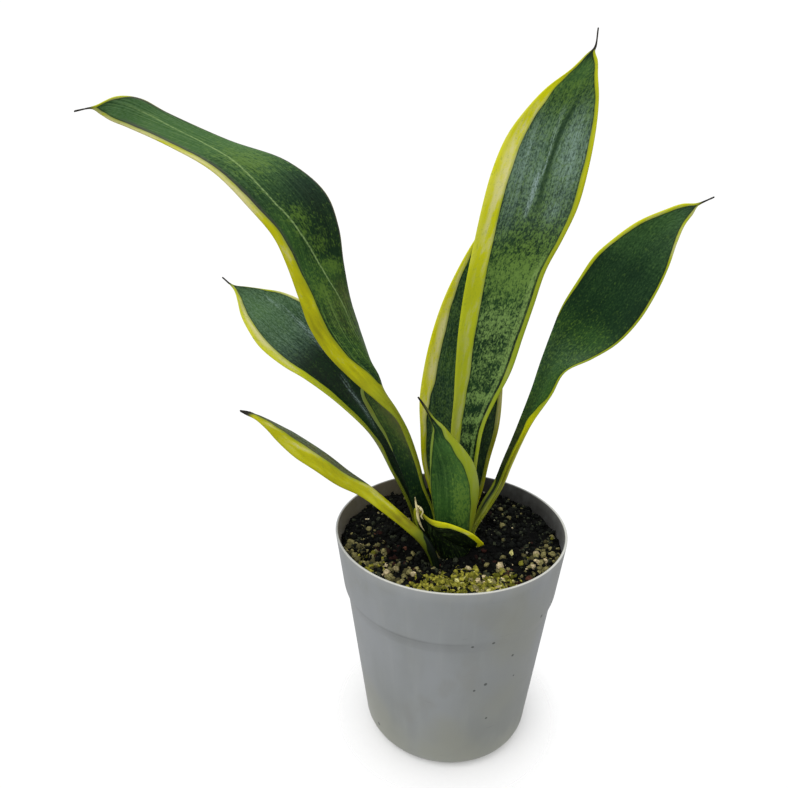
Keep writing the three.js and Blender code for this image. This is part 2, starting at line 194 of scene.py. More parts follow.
BLADE = {
    "base_thickness": 2.8,
    "mid_thickness": 2.0,
    "tip_thickness": 0.7,
    "margin_thickness": 0.9,
    "margin_round": 0.72,  # share of that thickness at the margin's own points
    "nose": 0.3,  # how far the margin's rounding goes out, as a share of it
    "columns": 21,  # points from margin to margin
    "even_share": 0.6,  # how even their spacing is; the rest crowds them to the margins
    "rings_per_station": 7,
}

# Each row is one station along a leaf: left margin x, y, z, right margin x, y, z, and how
# far the middle of the blade sinks behind the line between them.
LEAVES = {
    "leaf_arching": [
        [-14, 5, 97, -6, 1, 97, 3],
        [-15, 4, 110, -7, -2, 113, 3],
        [-18, 4, 121, -9, -3, 128, 4],
        [-22, 6, 137, -15, -5, 144, 4],
        [-27, 7, 151, -18.5, -6, 157, 5],
        [-34, 9, 166, -23.5, -8, 172, 6],
        [-41, 9, 178, -28, -10, 183, 6],
        [-46, 8.5, 190, -37, -13.5, 193.5, 7],
        [-44, 6.5, 200, -49, -16, 205.5, 8.5],
        [-43, 3, 212, -60, -18, 218.5, 8],
        [-46, -0.5, 226, -66.5, -20.5, 231, 6],
        [-49.5, -3.5, 239.5, -70, -23.5, 244, 4],
        [-52, -8, 257.5, -74.5, -26, 260, 2],
        [-53.5, -11, 273, -78.5, -29, 271, 1],
        [-58.5, -13.5, 287.5, -86.5, -31.5, 282, 1],
        [-73, -17.5, 300, -99.5, -34.5, 296.5, 1],
        [-95, -23.5, 308, -115.5, -36, 306, 1],
        [-116.5, -30.5, 318, -129.5, -37, 312.5, 1],
        [-124.5, -34.5, 322.5, -135.5, -37.5, 315, 1],
        [-132, -38, 323, -138.5, -38, 317, 0],
        [-140.5, -39.7, 319.5, -141, -39.5, 318.8, 0],
        [-147, -41, 318, -147.1, -41, 317.7, 0],
    ],
    "leaf_mid_left": [
        [-17, 10, 97, -9, 14, 97, 3],
        [-19, 11, 116, -11, 16, 118, 3],
        [-24, 12, 132, -17, 20, 132, 4],
        [-30.5, 13.5, 144.5, -22, 24.5, 146.5, 5],
        [-37, 15.5, 159.5, -28, 29.5, 158.5, 6],
        [-47, 17.5, 170, -34, 34.5, 174, 7],
        [-61, 20.5, 182, -44, 39.5, 189, 8],
        [-76, 22.5, 193, -53.5, 44.5, 204.5, 7],
        [-87, 25, 199, -61.5, 48, 215, 6],
        [-99, 28.5, 208, -72.5, 50.5, 223, 5],
        [-105, 31.5, 216, -82, 51.5, 229, 4],
        [-109.5, 36, 223.5, -91.5, 52, 232.5, 3],
        [-111.5, 40, 229.5, -99.5, 51, 234, 2],
        [-113.5, 44, 234, -108.5, 50, 235.5, 1],
        [-116, 47.3, 236.5, -115.3, 47.7, 237, 0],
        [-121.3, 50, 240.5, -121, 50, 240.8, 0],
    ],
    "leaf_tall": [
        [3, 8, 97, 11, 8, 97, 4],
        [3, 8, 115, 12, 8, 118, 4],
        [1, 8, 136, 13, 8, 136, 4],
        [0, 8, 153, 14, 9, 154, 4],
        [0, 10, 169.5, 17, 11, 171.5, 4],
        [1, 11, 185.5, 22.5, 13, 184.5, 4],
        [1.5, 13, 201, 29.5, 15, 199, 4],
        [2.5, 15.5, 218, 35, 18.5, 216, 4],
        [4.5, 19.5, 233.5, 40, 21.5, 231.5, 4],
        [7, 22, 248.5, 45.5, 25, 248.5, 4],
        [10, 25.5, 263, 53, 27.5, 263, 4],
        [13.5, 29, 279, 60, 31, 278, 4],
        [18, 32.5, 295.5, 64, 33.5, 294.5, 3],
        [25, 36, 311.5, 67, 37, 313.5, 3],
        [34.5, 38, 324, 67.5, 39, 328, 2],
        [43, 39.5, 332.5, 66.5, 40.5, 337.5, 1],
        [54, 40.5, 340.5, 66, 41.5, 344, 1],
        [61, 42, 347, 64.5, 42, 348, 0],
        [64.3, 42, 350, 65, 42, 350, 0],
        [65.3, 43, 358, 65.6, 43, 358, 0],
    ],
    "leaf_behind": [
        [-1, 20, 97, 11, 20, 97, 3],
        [-4, 20, 111, 14, 20, 111, 4],
        [-10, 21, 129, 19, 21, 129, 5],
        [-14, 24, 144.5, 22.5, 24, 145.5, 5],
        [-15, 27.5, 162, 27, 27.5, 163, 5],
        [-15.5, 31, 177.5, 28.5, 31, 177.5, 5],
        [-13.5, 35, 193, 29, 35, 193, 5],
        [-9.5, 39, 211, 30.5, 39, 211, 4],
        [-3.5, 43, 229, 30.5, 43, 227, 3],
        [4, 46.5, 245, 31, 46.5, 242, 2],
        [12.5, 50, 259.5, 29, 50, 256.5, 1],
        [20, 51.5, 269.5, 27, 51.5, 267.5, 1],
        [23.2, 53, 276, 24.2, 53, 276, 0],
        [25.5, 54, 283, 25.8, 54, 283, 0],
    ],
    "leaf_right": [
        [9.5, 1.5, 94, 11.5, -0.5, 94, 0.5],
        [10.8, 2.2, 113.5, 12.2, 0.5, 114.5, 0.8],
        [16, 7, 126.5, 20.5, 3.5, 127.5, 2],
        [23.5, 12, 137.5, 26.5, 8, 137.5, 3],
        [27.5, 11.5, 150.5, 30, 7, 150.5, 3],
        [31.5, 9.5, 164.5, 34.5, 5, 164, 3],
        [35, 7.5, 178, 40, 2.5, 177.5, 3],
        [39, 5.5, 194, 47, -1, 192, 4],
        [41.5, 3, 207.5, 52, -3, 204.5, 4],
        [45.5, 1, 224, 63.5, -5.5, 212, 4],
        [49, 0, 236, 73.5, -8, 220, 4],
        [55, -2, 249, 82, -9.5, 231.5, 3],
        [60.5, -4.5, 260, 88, -10.5, 245, 3],
        [68, -5, 267.5, 91.5, -11, 256.5, 2],
        [77.5, -6, 275, 94, -10, 266.5, 2],
        [88.5, -6.5, 280, 97, -8.5, 274, 1],
        [95.5, -7, 282.5, 100.5, -7, 278.5, 0],
        [102, -7, 282.8, 102.3, -6.8, 281.8, 0],
        [109.1, -6, 285.5, 109.2, -6, 285.2, 0],
    ],
    "leaf_centre": [
        [-4, -8, 97, 8, -7, 97, -3],
        [-6, -8, 112, 9, -7, 112, -3],
        [-8, -8, 124, 11, -7, 124, -3],
        [-9.5, -8, 134, 12.5, -7, 135, -3],
        [-11, -8, 146, 13, -7, 146, -3],
        [-11.5, -8, 158, 10, -7, 158, -2],
        [-11.5, -8, 167, 5, -7, 166, -2],
        [-11, -8, 173, -1, -7, 173, -1],
        [-10.5, -8, 178, -6, -7, 179, -0.5],
        [-12, -7, 182, -10, -7, 182.5, 0],
        [-14.3, -7, 187, -13.3, -7, 187.3, 0],
        [-18.2, -7, 193.4, -17.8, -7, 193.6, 0],
    ],
    "leaf_low": [
        [-10, -28, 99, -7, -25, 99, -1],
        [-11, -28, 113, -8, -25, 114, -1],
        [-16, -28, 124.5, -13, -23.5, 124.5, -2],
        [-24, -29, 134, -21, -22.5, 132.5, -2],
        [-34, -31.5, 144.5, -30, -23, 142.5, -2],
        [-44.5, -34.5, 155, -41.5, -23.5, 152.5, -3],
        [-55, -38.5, 163, -52, -25.5, 162, -4],
        [-64.5, -41.5, 172, -61, -27.5, 170, -5],
        [-72.5, -44, 179.5, -69.5, -29, 177.5, -5],
        [-79, -46.5, 188, -77, -32.5, 185, -4],
        [-83, -48.5, 194.5, -82.5, -37.5, 192, -2],
        [-87, -50, 199.5, -87, -44, 198, -1],
        [-90.5, -50, 201.5, -90, -48, 202, 0],
        [-93, -50.5, 203.2, -93, -50.5, 203.6, 0],
    ],
    "leaf_sheath": [
        [-3, -16, 99, 6, -17, 99, -2],
        [-7, -17, 112, 6, -17, 110, -3],
        [-13, -18, 122, 7.5, -17, 113, -3.5],
        [-19, -18.5, 132, 8.5, -16.5, 115, -4],
        [-19, -20, 140.5, 9, -16.5, 116, -3.5],
        [-12, -22.5, 136, 9.5, -16.5, 116, -3],
        [-3, -23.5, 134, 10.5, -16.5, 116.5, -2],
        [4, -22.5, 130.5, 11.5, -16.5, 116.5, -1.5],
        [10, -20.5, 126, 12.7, -17, 117, -0.7],
        [15, -18.5, 120, 15.4, -18, 119, 0],
    ],
}

# How each leaf is coloured along its length, as {station: value}. A row that is missing reads
# as the one in PLAIN. yellow_left and yellow_right are the widths of the yellow margins, and
# keel_mm and streak_mm are distances from the centre line. The rest are shares from 0 to 1.
PLAIN = {
    "yellow_left": {0: 1},
    "yellow_right": {0: 1},
    "green_edge": {0: 0},  # how green the yellow is
    "cream": {0: 0},  # how much of the yellow is cream; below 0 it is clear yellow
    "olive": {0: 0},  # how dull the yellow is
    "tone": {0: 0.5},  # how light the green is
    "mottle": {0: 0},  # how much of the green has pale flecks
    "pale": {0: 0.3},  # how pale the flecks are
    "bloom_and_sheen": {0: 0},  # grey-blue wax bloom, with painted sheen of reflected light
    "grain": {0: 0.15},  # fine pale lines along the blade
    "keel": {0: 0},  # a painted highlight along the crest of the blade, or below 0 painted shade along a groove
    "keel_mm": {0: 0},
    "streak": {0: 0},  # a broken painted glint along the blade
    "streak_mm": {0: 0},
    "stripe": {0: 0},  # the pale stripe and the dark line beside the right margin
    "stripe_mm": {0: 2},  # how wide that stripe is
    "back_right": {0: 0},  # how much wider the right margin is on the back
    "tan": {0: 0},  # a dull brownish cast on the green
    "left_green": {0: 0},  # how much paler green the left margin alone is
    "brown_rim": {0: 0},  # a brown line along the left margin
    "brown_inner": {0: 0},  # a brown band inside the right margin
    "shade": {0: 0},  # painted shade: how dark and dull all of it is
    "dry": {0: 0},  # the brown, dried spine
}

LOOKS = {
    "leaf_arching": {
        "yellow_left": {4.2: -0.8, 4.7: 0.6, 5.3: 1.5, 6.3: 2.2, 7: 2, 8: 1.2, 9: 0, 18.2: 0, 19: 1.2},
        "yellow_right": {
            0: 1.2, 4: 1.8, 5.2: 2.4, 6: 3.4, 6.6: 6, 7.2: 9.3, 8: 9.5, 9: 8.5, 10: 7.5, 11: 6.5,
            12: 4.3, 13: 3.5, 14: 2.7, 15: 2.2, 17: 1.5, 20: 1.2,
        },
        "green_edge": {0: 0.9, 6: 0.85, 7: 0.6, 7.6: 0.3, 8.3: 0.05, 13: 0, 18: 0.1, 20: 0.3},
        "cream": {0: 0, 6: -0.4, 11: -0.2, 12.5: 0.1, 13.5: 0.5, 14.5: 0.9, 18: 0.9, 20: 0.5},
        "olive": {0: 0.5, 5: 0.6, 6.5: 0.7, 7.4: 0.55, 8.4: 0.65, 9.5: 0.75, 11: 0.65, 13: 0.3, 15: 0},
        "tone": {
            0: 0.05, 2: 0.2, 4.2: 0.4, 5: 0.5, 7: 0.5, 9: 0.65, 11: 0.65, 12.3: 0.55, 14: 0.5, 15: 0.7,
            16: 0.95,
        },
        "mottle": {7: 0.1, 8.5: 0.3, 10: 0.35, 11: 0.35, 12: 0.1, 14: 0.05, 15: 0.2, 17: 0.1, 20: 0},
        "pale": {0: 0.2, 8: 0.4, 11: 0.45, 13.7: 0.45, 15: 0.5, 17: 0.3, 20: 0.2},
        "bloom_and_sheen": {13: 0, 15.5: 0.15, 18: 0.2},
        "grain": {3.5: 0, 6: 0.2, 8: 0.7, 10.5: 0.8, 11.6: 0.2, 14.5: 0.1, 15.5: 0.5},
        "keel": {9.4: 0, 10.2: 0.4, 11: 0.85, 15: 0.9, 17: 0.6, 18: 0.2, 19: 0},
        "keel_mm": {
            9.6: -5.6, 10.4: -6.3, 10.9: -5.7, 11.3: -4, 11.6: -1.9, 12: 0, 12.5: 1.9, 13: 3.9,
            13.5: 5.1, 14: 6.6, 14.5: 6.6, 15: 5.1, 16: 0.2, 17: -2,
        },
        "back_right": {3.2: 0, 4.2: 8, 6.8: 8, 7.6: 0},
        "left_green": {7: 1, 7.8: 0},
        "brown_rim": {8.5: 0, 9.5: 0.7, 18.2: 0.7, 19: 0},
        "brown_inner": {11: 0, 12.5: 0.25, 14: 0.45, 17: 0.6, 18: 0},
        "shade": {0: 0.7, 1.5: 0.4, 3: 0.1, 4.5: 0},
        "dry": {19.8: 0, 20.2: 1},
    },
    "leaf_mid_left": {
        "yellow_left": {
            0: 1.2, 3: 3, 4: 4.5, 5: 6.6, 6: 7, 7: 5.4, 8: 5, 9: 5.6, 10: 5, 11: 4, 12: 2.6, 13: 1.4,
            14: 0.8,
        },
        "yellow_right": {0: 0.5, 9: 0.8, 10: 1.2, 11.5: 1, 12.5: 0.3},
        "green_edge": {0: 1, 4: 0.95, 5.5: 0.65, 8: 0.25, 10: 0.05, 12: 0.25, 14: 0.5},
        "cream": {0: 0, 7: 0.1, 8: 0.6, 9: 0.95, 10.5: 0.95, 12: 0.5, 14: 0.3},
        "olive": {0: 0.8, 4: 0.7, 5.4: 0.35, 6.5: 0},
        "tone": {
            0: 0.1, 3: 0.25, 5: 0.38, 6: 0.25, 7.7: 0.27, 9: 0.66, 9.5: 0.72, 11: 0.8, 13: 0.6, 14: 0.4,
        },
        "mottle": {7.6: 0, 9: 0.25, 12: 0.35, 14: 0.2},
        "pale": {0: 0.2},
        "bloom_and_sheen": {7.3: 0, 8.9: 0.42, 10: 0.4, 11.5: 0.4, 13: 0.2},
        "grain": {0: 0.03},
        "streak": {
            4.3: 0, 4.8: 0.3, 5.3: 0.45, 6.2: 0.45, 6.6: 0, 7.2: 0, 8: 0.35, 9.5: 0.45, 11: 0.3, 12: 0,
        },
        "streak_mm": {4.6: 0.4, 5: 0.8, 5.4: 2, 5.9: 2.7, 6.3: 4, 8: 6.6, 9: 8.6, 10: 8, 11: 6},
        "shade": {0: 0.6, 2: 0.35, 4: 0.05, 5: 0},
        "dry": {13.8: 0, 14.4: 1},
    },
    "leaf_tall": {
        "yellow_left": {
            0: 3, 3: 5, 4: 6, 5: 6.8, 6: 8.4, 8: 9.8, 12: 9.3, 13: 8.6, 14: 7, 15: 5, 16: 2, 17: 0.8,
        },
        "yellow_right": {
            0: 1.4, 4: 1.6, 5.4: 1.7, 6.2: 2.3, 8: 1.9, 9: 1.9, 10.3: 2, 11.8: 2.6, 12.6: 2.1, 13.5: 1.5,
            16: 1.3, 17: 0.7,
        },
        "green_edge": {0: 0.9, 2: 0.75, 3: 0.6, 6: 0.6, 8: 0.5, 10: 0.25, 12: 0.05},
        "cream": {
            0: 0.1, 2.5: 0.4, 5: 0.4, 7: 0.35, 9: 0.15, 10.5: 0.35, 11.5: 0.6, 13: 0.7, 14: 0.3, 15: 0,
            17: 0.1,
        },
        "tone": {
            0: 0.25, 4: 0.35, 5.5: 0.45, 9: 0.5, 10.5: 0.42, 12: 0.55, 14: 0.6, 15: 0.75, 16: 0.8,
            17: 0.3,
        },
        "mottle": {
            0: 0.5, 3: 0.3, 3.25: 0.1, 3.6: 0.65, 3.88: 0.1, 4.2: 0.7, 4.6: 0.1, 5.07: 0.85, 5.35: 0.15,
            5.6: 0.35, 5.9: 0.5, 6.5: 0.5, 6.8: 0.4, 7.2: 0.65, 7.7: 0.65, 8: 0.35, 8.3: 0.45, 8.8: 0.9,
            9.3: 0.8, 9.7: 0.55, 10.4: 0.55, 11: 0.55, 13: 0.5, 14.5: 0.6, 16: 0.4, 17: 0.1,
        },
        "pale": {0: 0.6, 4: 0.72, 7.5: 0.74, 8.5: 0.6, 11: 0.5, 13: 0.5, 15: 0.4, 17: 0.1},
        "bloom_and_sheen": {9.5: 0, 11: 0.15, 13: 0.25, 14.2: 0.05},
        "grain": {10: 0.1, 12: 0.3, 14: 0.3, 15.5: 0.1},
        "keel": {10.6: 0, 11.2: -0.65, 12: -0.75, 13.5: -0.75, 14.3: 0},
        "keel_mm": {11: 4.6, 11.6: 3.9, 12.3: 4, 13: 4.7, 13.7: 5.9, 14.5: 6.8},
        "streak": {10.6: 0, 11: 0.7, 11.9: 0.8, 12.2: 0.6, 12.6: 0.35, 13.6: 0.3, 14: 0},
        "streak_mm": {10.8: -0.6, 11.7: 0, 12.1: 1.6, 12.6: 2.2, 13.6: 1.9},
        "stripe": {2.5: 0.7, 8.8: 0.8, 9.4: 0.4, 9.8: 0},
        "stripe_mm": {3: 1.3, 4.5: 1.7, 5.5: 2.2, 7: 2.5, 8.5: 2.2, 9.4: 1.8},
        "dry": {16.9: 0, 17.6: 1},
    },
    "leaf_behind": {
        "yellow_left": {0: 2, 3: 2.4, 4.2: 3, 5: 5.4, 5.7: 7.4, 7: 7, 8: 5, 9: 3.2, 10: 1.8, 11: 1},
        "yellow_right": {0: 1.5, 5: 2.2, 8: 2, 11: 1},
        "green_edge": {0: 0.5, 4: 0.1, 7: 0},
        "cream": {0: 0.1, 4: 0.3, 5.5: 0.6, 8: 0.5, 11: 0.3},
        "tone": {0: 0.3, 4: 0.42, 8: 0.5, 11: 0.55},
        "mottle": {0: 0.4, 5: 0.5, 5.6: 0.3, 6.2: 0.6, 7: 0.35, 7.7: 0.6, 8.4: 0.35, 9.5: 0.5},
        "pale": {0: 0.35},
        "bloom_and_sheen": {0: 0.15},
        "dry": {11.6: 0, 12.2: 1},
    },
    "leaf_right": {
        "yellow_left": {
            0: 1.5, 1.5: 1, 2.8: 0.8, 3.6: -0.8, 9: -0.8, 9.8: 0.2, 11: 0.9, 12: 1.2, 14: 1.6, 16: 1.4,
            17: 0.6,
        },
        "yellow_right": {
            0: 4, 2: 5.5, 3.2: 6.2, 4.5: 5.9, 5.4: 5.2, 5.9: 5.6, 6.4: 3.4, 6.9: 1, 7.5: 0.6, 10: 0.5,
            14: 0.8, 16: 1, 17: 0.6,
        },
        "green_edge": {0: 0.8, 2.6: 0.6, 3.6: 0.2, 5.8: 0.1, 6.6: 0.6, 9: 0.5, 12: 0.25, 14: 0.1},
        "cream": {0: 0.1, 12: 0.2, 16: 0.4},
        "olive": {0: 0.6, 2.6: 0.4, 3.5: 0.1, 5.5: 0.15, 7: 0},
        "tone": {
            0: 0.2, 5: 0.45, 7: 0.7, 8.5: 0.65, 9.5: 0.65, 10.5: 0.45, 12: 0.5, 13: 0.65, 15: 0.75,
            17: 0.4,
        },
        "mottle": {0: 0.1, 7: 0.2, 8.5: 0.35, 9.5: 0.25, 10.4: 0, 12: 0, 14: 0.1},
        "pale": {0: 0.2, 8: 0.42, 10: 0.4, 11: 0.2},
        "bloom_and_sheen": {6: 0, 8.5: 0.12, 9.5: 0, 14: 0.05, 16: 0.15},
        "grain": {0: 0.02},
        "dry": {16.8: 0, 17.3: 1},
    },
    "leaf_centre": {
        "yellow_left": {4.6: 0.1, 5.3: 0.7, 6: 1.1, 6.8: 1, 7.5: 0.7, 8.5: 0},
        "yellow_right": {0: 0.5, 1.2: 2, 2.9: 3.9, 3.9: 5.2, 5: 5.6, 5.7: 6.2, 6.8: 4.2, 8: 1.8, 9: 0.5},
        "green_edge": {0: 1, 3: 0.9, 5: 0.8, 8: 0.75},
        "cream": {0: 0, 3: 0.15, 7: 0.2},
        "olive": {0: 0.9, 2.8: 0.75, 3.6: 0.3, 5: 0.05, 7.5: 0.2},
        "tone": {0: 0.75, 3: 0.95, 6: 0.9, 8: 0.6, 9: 0.2},
        "mottle": {0: 0.2, 1.5: 0.3, 3.5: 0.3, 4.5: 0.25, 6: 0.15, 8: 0.1},
        "pale": {4: 0.5, 6: 0.3},
        "left_green": {8: 0.8},
        "dry": {9.2: 0, 10: 0.7, 10.6: 1},
    },
    "leaf_low": {
        "yellow_left": {
            0: 0.3, 1.6: 0.8, 2.2: 2.4, 2.7: 5.6, 3.2: 6.6, 3.8: 8, 4.6: 9, 4.9: 9.4, 5.15: 7.4,
            5.4: 6.5, 5.8: 6.2, 7: 6.4, 8: 6.6, 9: 5.5, 10: 4, 11: 2, 12: 0.8,
        },
        "yellow_right": {0: 0.05, 9: 0.1, 11: 0.4},
        "green_edge": {2.4: 0.9, 3: 0.5, 3.6: 0.15, 11: 0},
        "cream": {0: -0.4, 4: -0.2, 5: 0.2, 6: 0.1, 10: 0.2},
        "olive": {0: 0.9, 2.4: 0.7, 3.4: 0.85, 4.3: 0.6, 5: 0.5, 6: 0.65, 8: 0.5},
        "tone": {0: 0.05, 5: 0.2},
        "bloom_and_sheen": {4.8: 0, 5.4: 0.5, 6: 0.6, 9: 0.7, 11: 0.4},
        "grain": {0: 0.2, 5: 0.5},
        "tan": {3: 0, 5: 0.5, 8: 0.6, 11: 0.5},
        "shade": {0: 0.9, 1.6: 0.75, 2.3: 0.4, 2.9: 0.1, 3.4: 0},
        "dry": {11.2: 0, 12: 1},
    },
    "leaf_sheath": {
        "yellow_left": {0: 1, 2.5: 1.2, 3.2: 2, 4: 3.5, 5: 4.4, 6: 2.9, 7: 2.6, 7.8: 4, 8.6: 6},
        "yellow_right": {7.2: 0, 7.8: 2.5, 8.6: 5},
        "green_edge": {0: 0.95, 3.2: 0.8, 4.2: 0.25, 5: 0},
        "olive": {0: 0.4, 4: 0.6, 6: 0.35, 8: 0.4},
        # Painted shade: the sheath's green is near black, as its face lies in shadow.
        "tone": {0: -0.3},
    },
}

# Soft patches on some leaves: what they add to, station, place across from -1 at the left
# margin to 1 at the right, how far they reach in stations and across, and how much they add.
SPOTS = {
    "leaf_arching": [
        ("mottle", 15.3, -0.35, 0.45, 0.5, 0.35), ("mottle", 15.1, 0.05, 0.4, 0.4, 0.75),
        ("mottle", 14.2, -0.5, 0.5, 0.5, -0.4), ("tone", 14.1, -0.6, 0.6, 0.45, -0.12),
        ("mottle", 13.6, 0.05, 0.35, 0.35, 0.85), ("mottle", 13, 0.15, 0.2, 0.2, 0.7),
        ("mottle", 12.7, -0.38, 0.2, 0.22, 0.7), ("mottle", 12.5, 0, 0.2, 0.2, 0.55),
        ("mottle", 11.95, -0.42, 0.2, 0.5, 1), ("tone", 11.9, -0.42, 0.3, 0.5, 0.3),
        ("mottle", 11.3, 0.2, 0.35, 0.3, 0.65), ("tan", 11.2, -0.65, 0.35, 0.3, 0.3),
        ("tan", 10.5, -0.2, 0.8, 0.6, 0.2), ("tan", 5.9, -0.1, 1.2, 0.6, 0.65),
        ("tan", 5.2, 0.3, 0.8, 0.5, 0.45), ("tone", 5.6, -0.3, 1.3, 0.6, 0.35),
        ("mottle", 5.4, -0.3, 1, 0.5, 0.5), ("tone", 12.8, -0.75, 1.6, 0.4, -0.15),
        ("tone", 12.6, 0.5, 1.8, 0.35, 0.2),
    ],
    "leaf_tall": [
        ("tone", 8.4, 0.4, 0.9, 0.6, 0.12), ("mottle", 8.4, 0.4, 0.6, 0.5, 0.2),
        ("bloom_and_sheen", 12.4, 0.6, 1.2, 0.33, 1), ("bloom_and_sheen", 10.9, 0.55, 0.3, 0.15, 0.6),
        ("bloom_and_sheen", 12.3, -0.35, 1.1, 0.3, 0.85), ("bloom_and_sheen", 10.9, -0.45, 0.8, 0.2, 0.3),
        ("bloom_and_sheen", 11.5, 0, 0.55, 0.11, 0.9), ("cream", 11, 1, 4, 0.15, -0.9),
        ("green_edge", 8, 1, 5, 0.12, 0.3), ("olive", 11, 1, 2.2, 0.12, 0.5),
        ("mottle", 12.6, -0.4, 1.2, 0.3, -0.2), ("mottle", 10.6, 0, 0.5, 1, -0.1),
        ("mottle", 6, -0.55, 4, 0.25, -0.2),
    ],
    "leaf_right": [
        ("tan", 4.7, -0.8, 1.3, 0.6, 0.35), ("shade", 4.6, -0.8, 1.6, 0.6, 0.42),
        ("shade", 3.6, 1, 1.8, 0.15, 0.7), ("shade", 1.8, -0.6, 1.5, 0.7, 0.65),
        ("green_edge", 3.6, -0.2, 2, 0.6, 0.3),
    ],
    "leaf_sheath": [("dry", 4.6, -0.9, 0.5, 0.25, 0.5)],
    "leaf_centre": [
        ("mottle", 3.3, 0.18, 1.3, 0.36, 0.75), ("tone", 3, 0.2, 1.3, 0.4, -0.05),
        ("mottle", 3, -0.6, 4, 0.5, -0.4), ("tone", 3.5, -0.5, 3.5, 0.6, -0.25),
        ("tan", 2, 1, 1.6, 0.3, 0.6),
    ],
    "leaf_behind": [
        ("olive", 4, 0.95, 1.3, 0.25, 0.9), ("shade", 3.6, 0.5, 1.8, 0.35, 0.75),
        ("shade", 2.6, 0.95, 1.2, 0.25, 0.35),
    ],
    "leaf_low": [
        ("shade", 1.4, 0.6, 1.2, 0.9, 0.5), ("shade", 2.2, 0.9, 1, 0.7, 0.9),
        ("olive", 3.4, -0.2, 1.2, 0.8, 0.3),
    ],
}

# The strands of dried fibre on the sheath: x, y, z and width at points along each.
FIBRE = [
    [
        [-19.4, -21.5, 147.5, 0.4], [-18.9, -22, 144, 1.0], [-18.2, -22.4, 140.8, 2.0],
        [-17.8, -22.6, 137, 2.6], [-16.5, -22.2, 132.5, 1.8], [-14.6, -21.6, 128.8, 0.5],
    ],
    [
        [-18.6, -22.2, 143.5, 0.5], [-16.8, -23.2, 142.4, 1.3], [-15.6, -23.4, 140.4, 1.2],
        [-16.4, -23.2, 138.2, 1.5], [-15.2, -22.8, 135.8, 0.4],
    ],
]
FIBRE_SHAPE = {"steps": 6, "sides": 8, "curl": 2.2, "lean": 0.2, "flat": 0.5}

CAMERA = {
    "place": (-0.0295, -0.3086, 0.3042),
    "pitch_down": 19.9,  # degrees below the horizon
    "lens": 30.7,
    "sensor": 36,
    "clip_start": 0.01,
}
LIGHT = {
    "horizon": 0.46,  # brightness of the surroundings at and below the horizon
    "zenith": 0.95,
    "rise": (-0.2, 0.9),  # where it starts and ends to grow, as the height of a direction
    "key_place": (-0.6, -0.7, 1.3),
    "key_target": (0, 0, 0.15),
    "key_size": 0.9,
    "key_power": 8,
}
FLOOR = {"radius": 0.8, "sides": 96, "height": -0.0004, "full": 0.025, "gone": 0.08}
BACKDROP = {"radius": 4, "strength": 1.05}

# --- colours


def srgb(red, green, blue):
    """A linear colour with alpha from 0 to 255 values as a screen shows them."""

    def linear(value):
        value /= 255
        return value / 12.92 if value <= 0.04045 else ((value + 0.055) / 1.055) ** 2.4

    return (linear(red), linear(green), linear(blue), 1.0)


# LEAF_SHADE is the darkest green, and the colour of painted shade too.
LEAF_SHADE = srgb(5, 15, 7)
LEAF_DARK = srgb(13, 47, 19)
LEAF_LIGHT = srgb(62, 102, 42)
LEAF_FLECK = srgb(98, 132, 44)
LEAF_PALE = srgb(126, 156, 94)
LEAF_WAX_AND_SHEEN = srgb(124, 150, 136)
LEAF_GLINT = srgb(160, 182, 182)
LEAF_TAN = srgb(108, 106, 56)
KEEL_HIGHLIGHT = srgb(150, 178, 112)
RIM_BROWN = srgb(86, 80, 82)
MARGIN_YELLOW = srgb(216, 216, 4)
MARGIN_CREAM = srgb(234, 228, 156)
MARGIN_GREEN = srgb(124, 148, 38)
MARGIN_OLIVE = srgb(126, 120, 20)
STRIPE_GREEN = srgb(124, 154, 82)
DRY_BROWN = srgb(44, 42, 37)
FIBRE_BROWN = srgb(120, 104, 60)
FIBRE_CREAM = srgb(224, 214, 160)
POT_GREY = srgb(157, 161, 164)
POT_CLOUD = srgb(147, 151, 151)
POT_FLOW = srgb(166, 169, 168)
POT_FILM = srgb(148, 150, 138)
POT_BLOTCH = srgb(142, 143, 134)
POT_DUST = srgb(116, 119, 101)
POT_CREASE_SHADE = srgb(84, 87, 84)
POT_SCUFF = srgb(108, 112, 112)
POT_SPECK = srgb(52, 58, 54)
POT_SILT = srgb(104, 96, 73)
POT_STAIN_AND_SHADE = srgb(40, 39, 35)
POT_RIM_HIGHLIGHT = srgb(206, 206, 199)
PEAT_BLACK = srgb(2, 2, 2)
PEAT_DARK = srgb(12, 12, 10)
PEAT_BROWN = srgb(12, 10, 7)
CRUST_GREEN = srgb(58, 56, 18)
ROOT_BROWN = srgb(150, 128, 84)
ROOT_PALE = srgb(206, 184, 134)
FLOOR_PALE = (0.93, 0.93, 0.93, 1)
WHITE = (1, 1, 1, 1)

# Noise patterns: scale across, along and through, detail, roughness, distortion and shift.
# Those of the leaves are per millimetre of the blade laid flat, and the others per metre.
LEAF_PATTERNS = {
    "fine": ((1.5, 0.8, 1), 2, 0.6, 0.3),
    "ragged": ((0.2, 0.3, 1), 4, 0.65, 0.4),
    "dash": ((1.0, 0.55, 1), 2, 0.6, 0.5),
    "lines": ((1.6, 0.03, 1), 2, 0.6),
    "patch": ((0.06, 0.03, 1), 1),
    "wobble": ((0.25, 0.05, 1), 3, 0.6),
    "veil": ((0.3, 0.06, 1), 2),
    "freckle": ((0.9, 0.6, 1), 3, 0.6),
}
LEAF_SHIFT = (17.3, 9.1, 3.7)  # from one leaf's patterns to the next leaf's
POT_PATTERNS = {
    "cloud": ((28, 28, 16), 3, 0.55),
    "flow": ((160, 160, 6), 2, 0.6),
    "blotch": ((45, 45, 30), 3, 0.6, 0, (3.1, 0.7, 1.9)),
    "scuff": ((60, 60, 420), 3, 0.7),
    "stain_and_shade": ((120, 120, 90), 4, 0.7),
    "grain": ((900, 900, 900), 2),
}
CRUMB_PATTERN = ((420, 420, 420), 4, 0.65)
PEAT_PATTERN = ((60, 60, 60), 2)
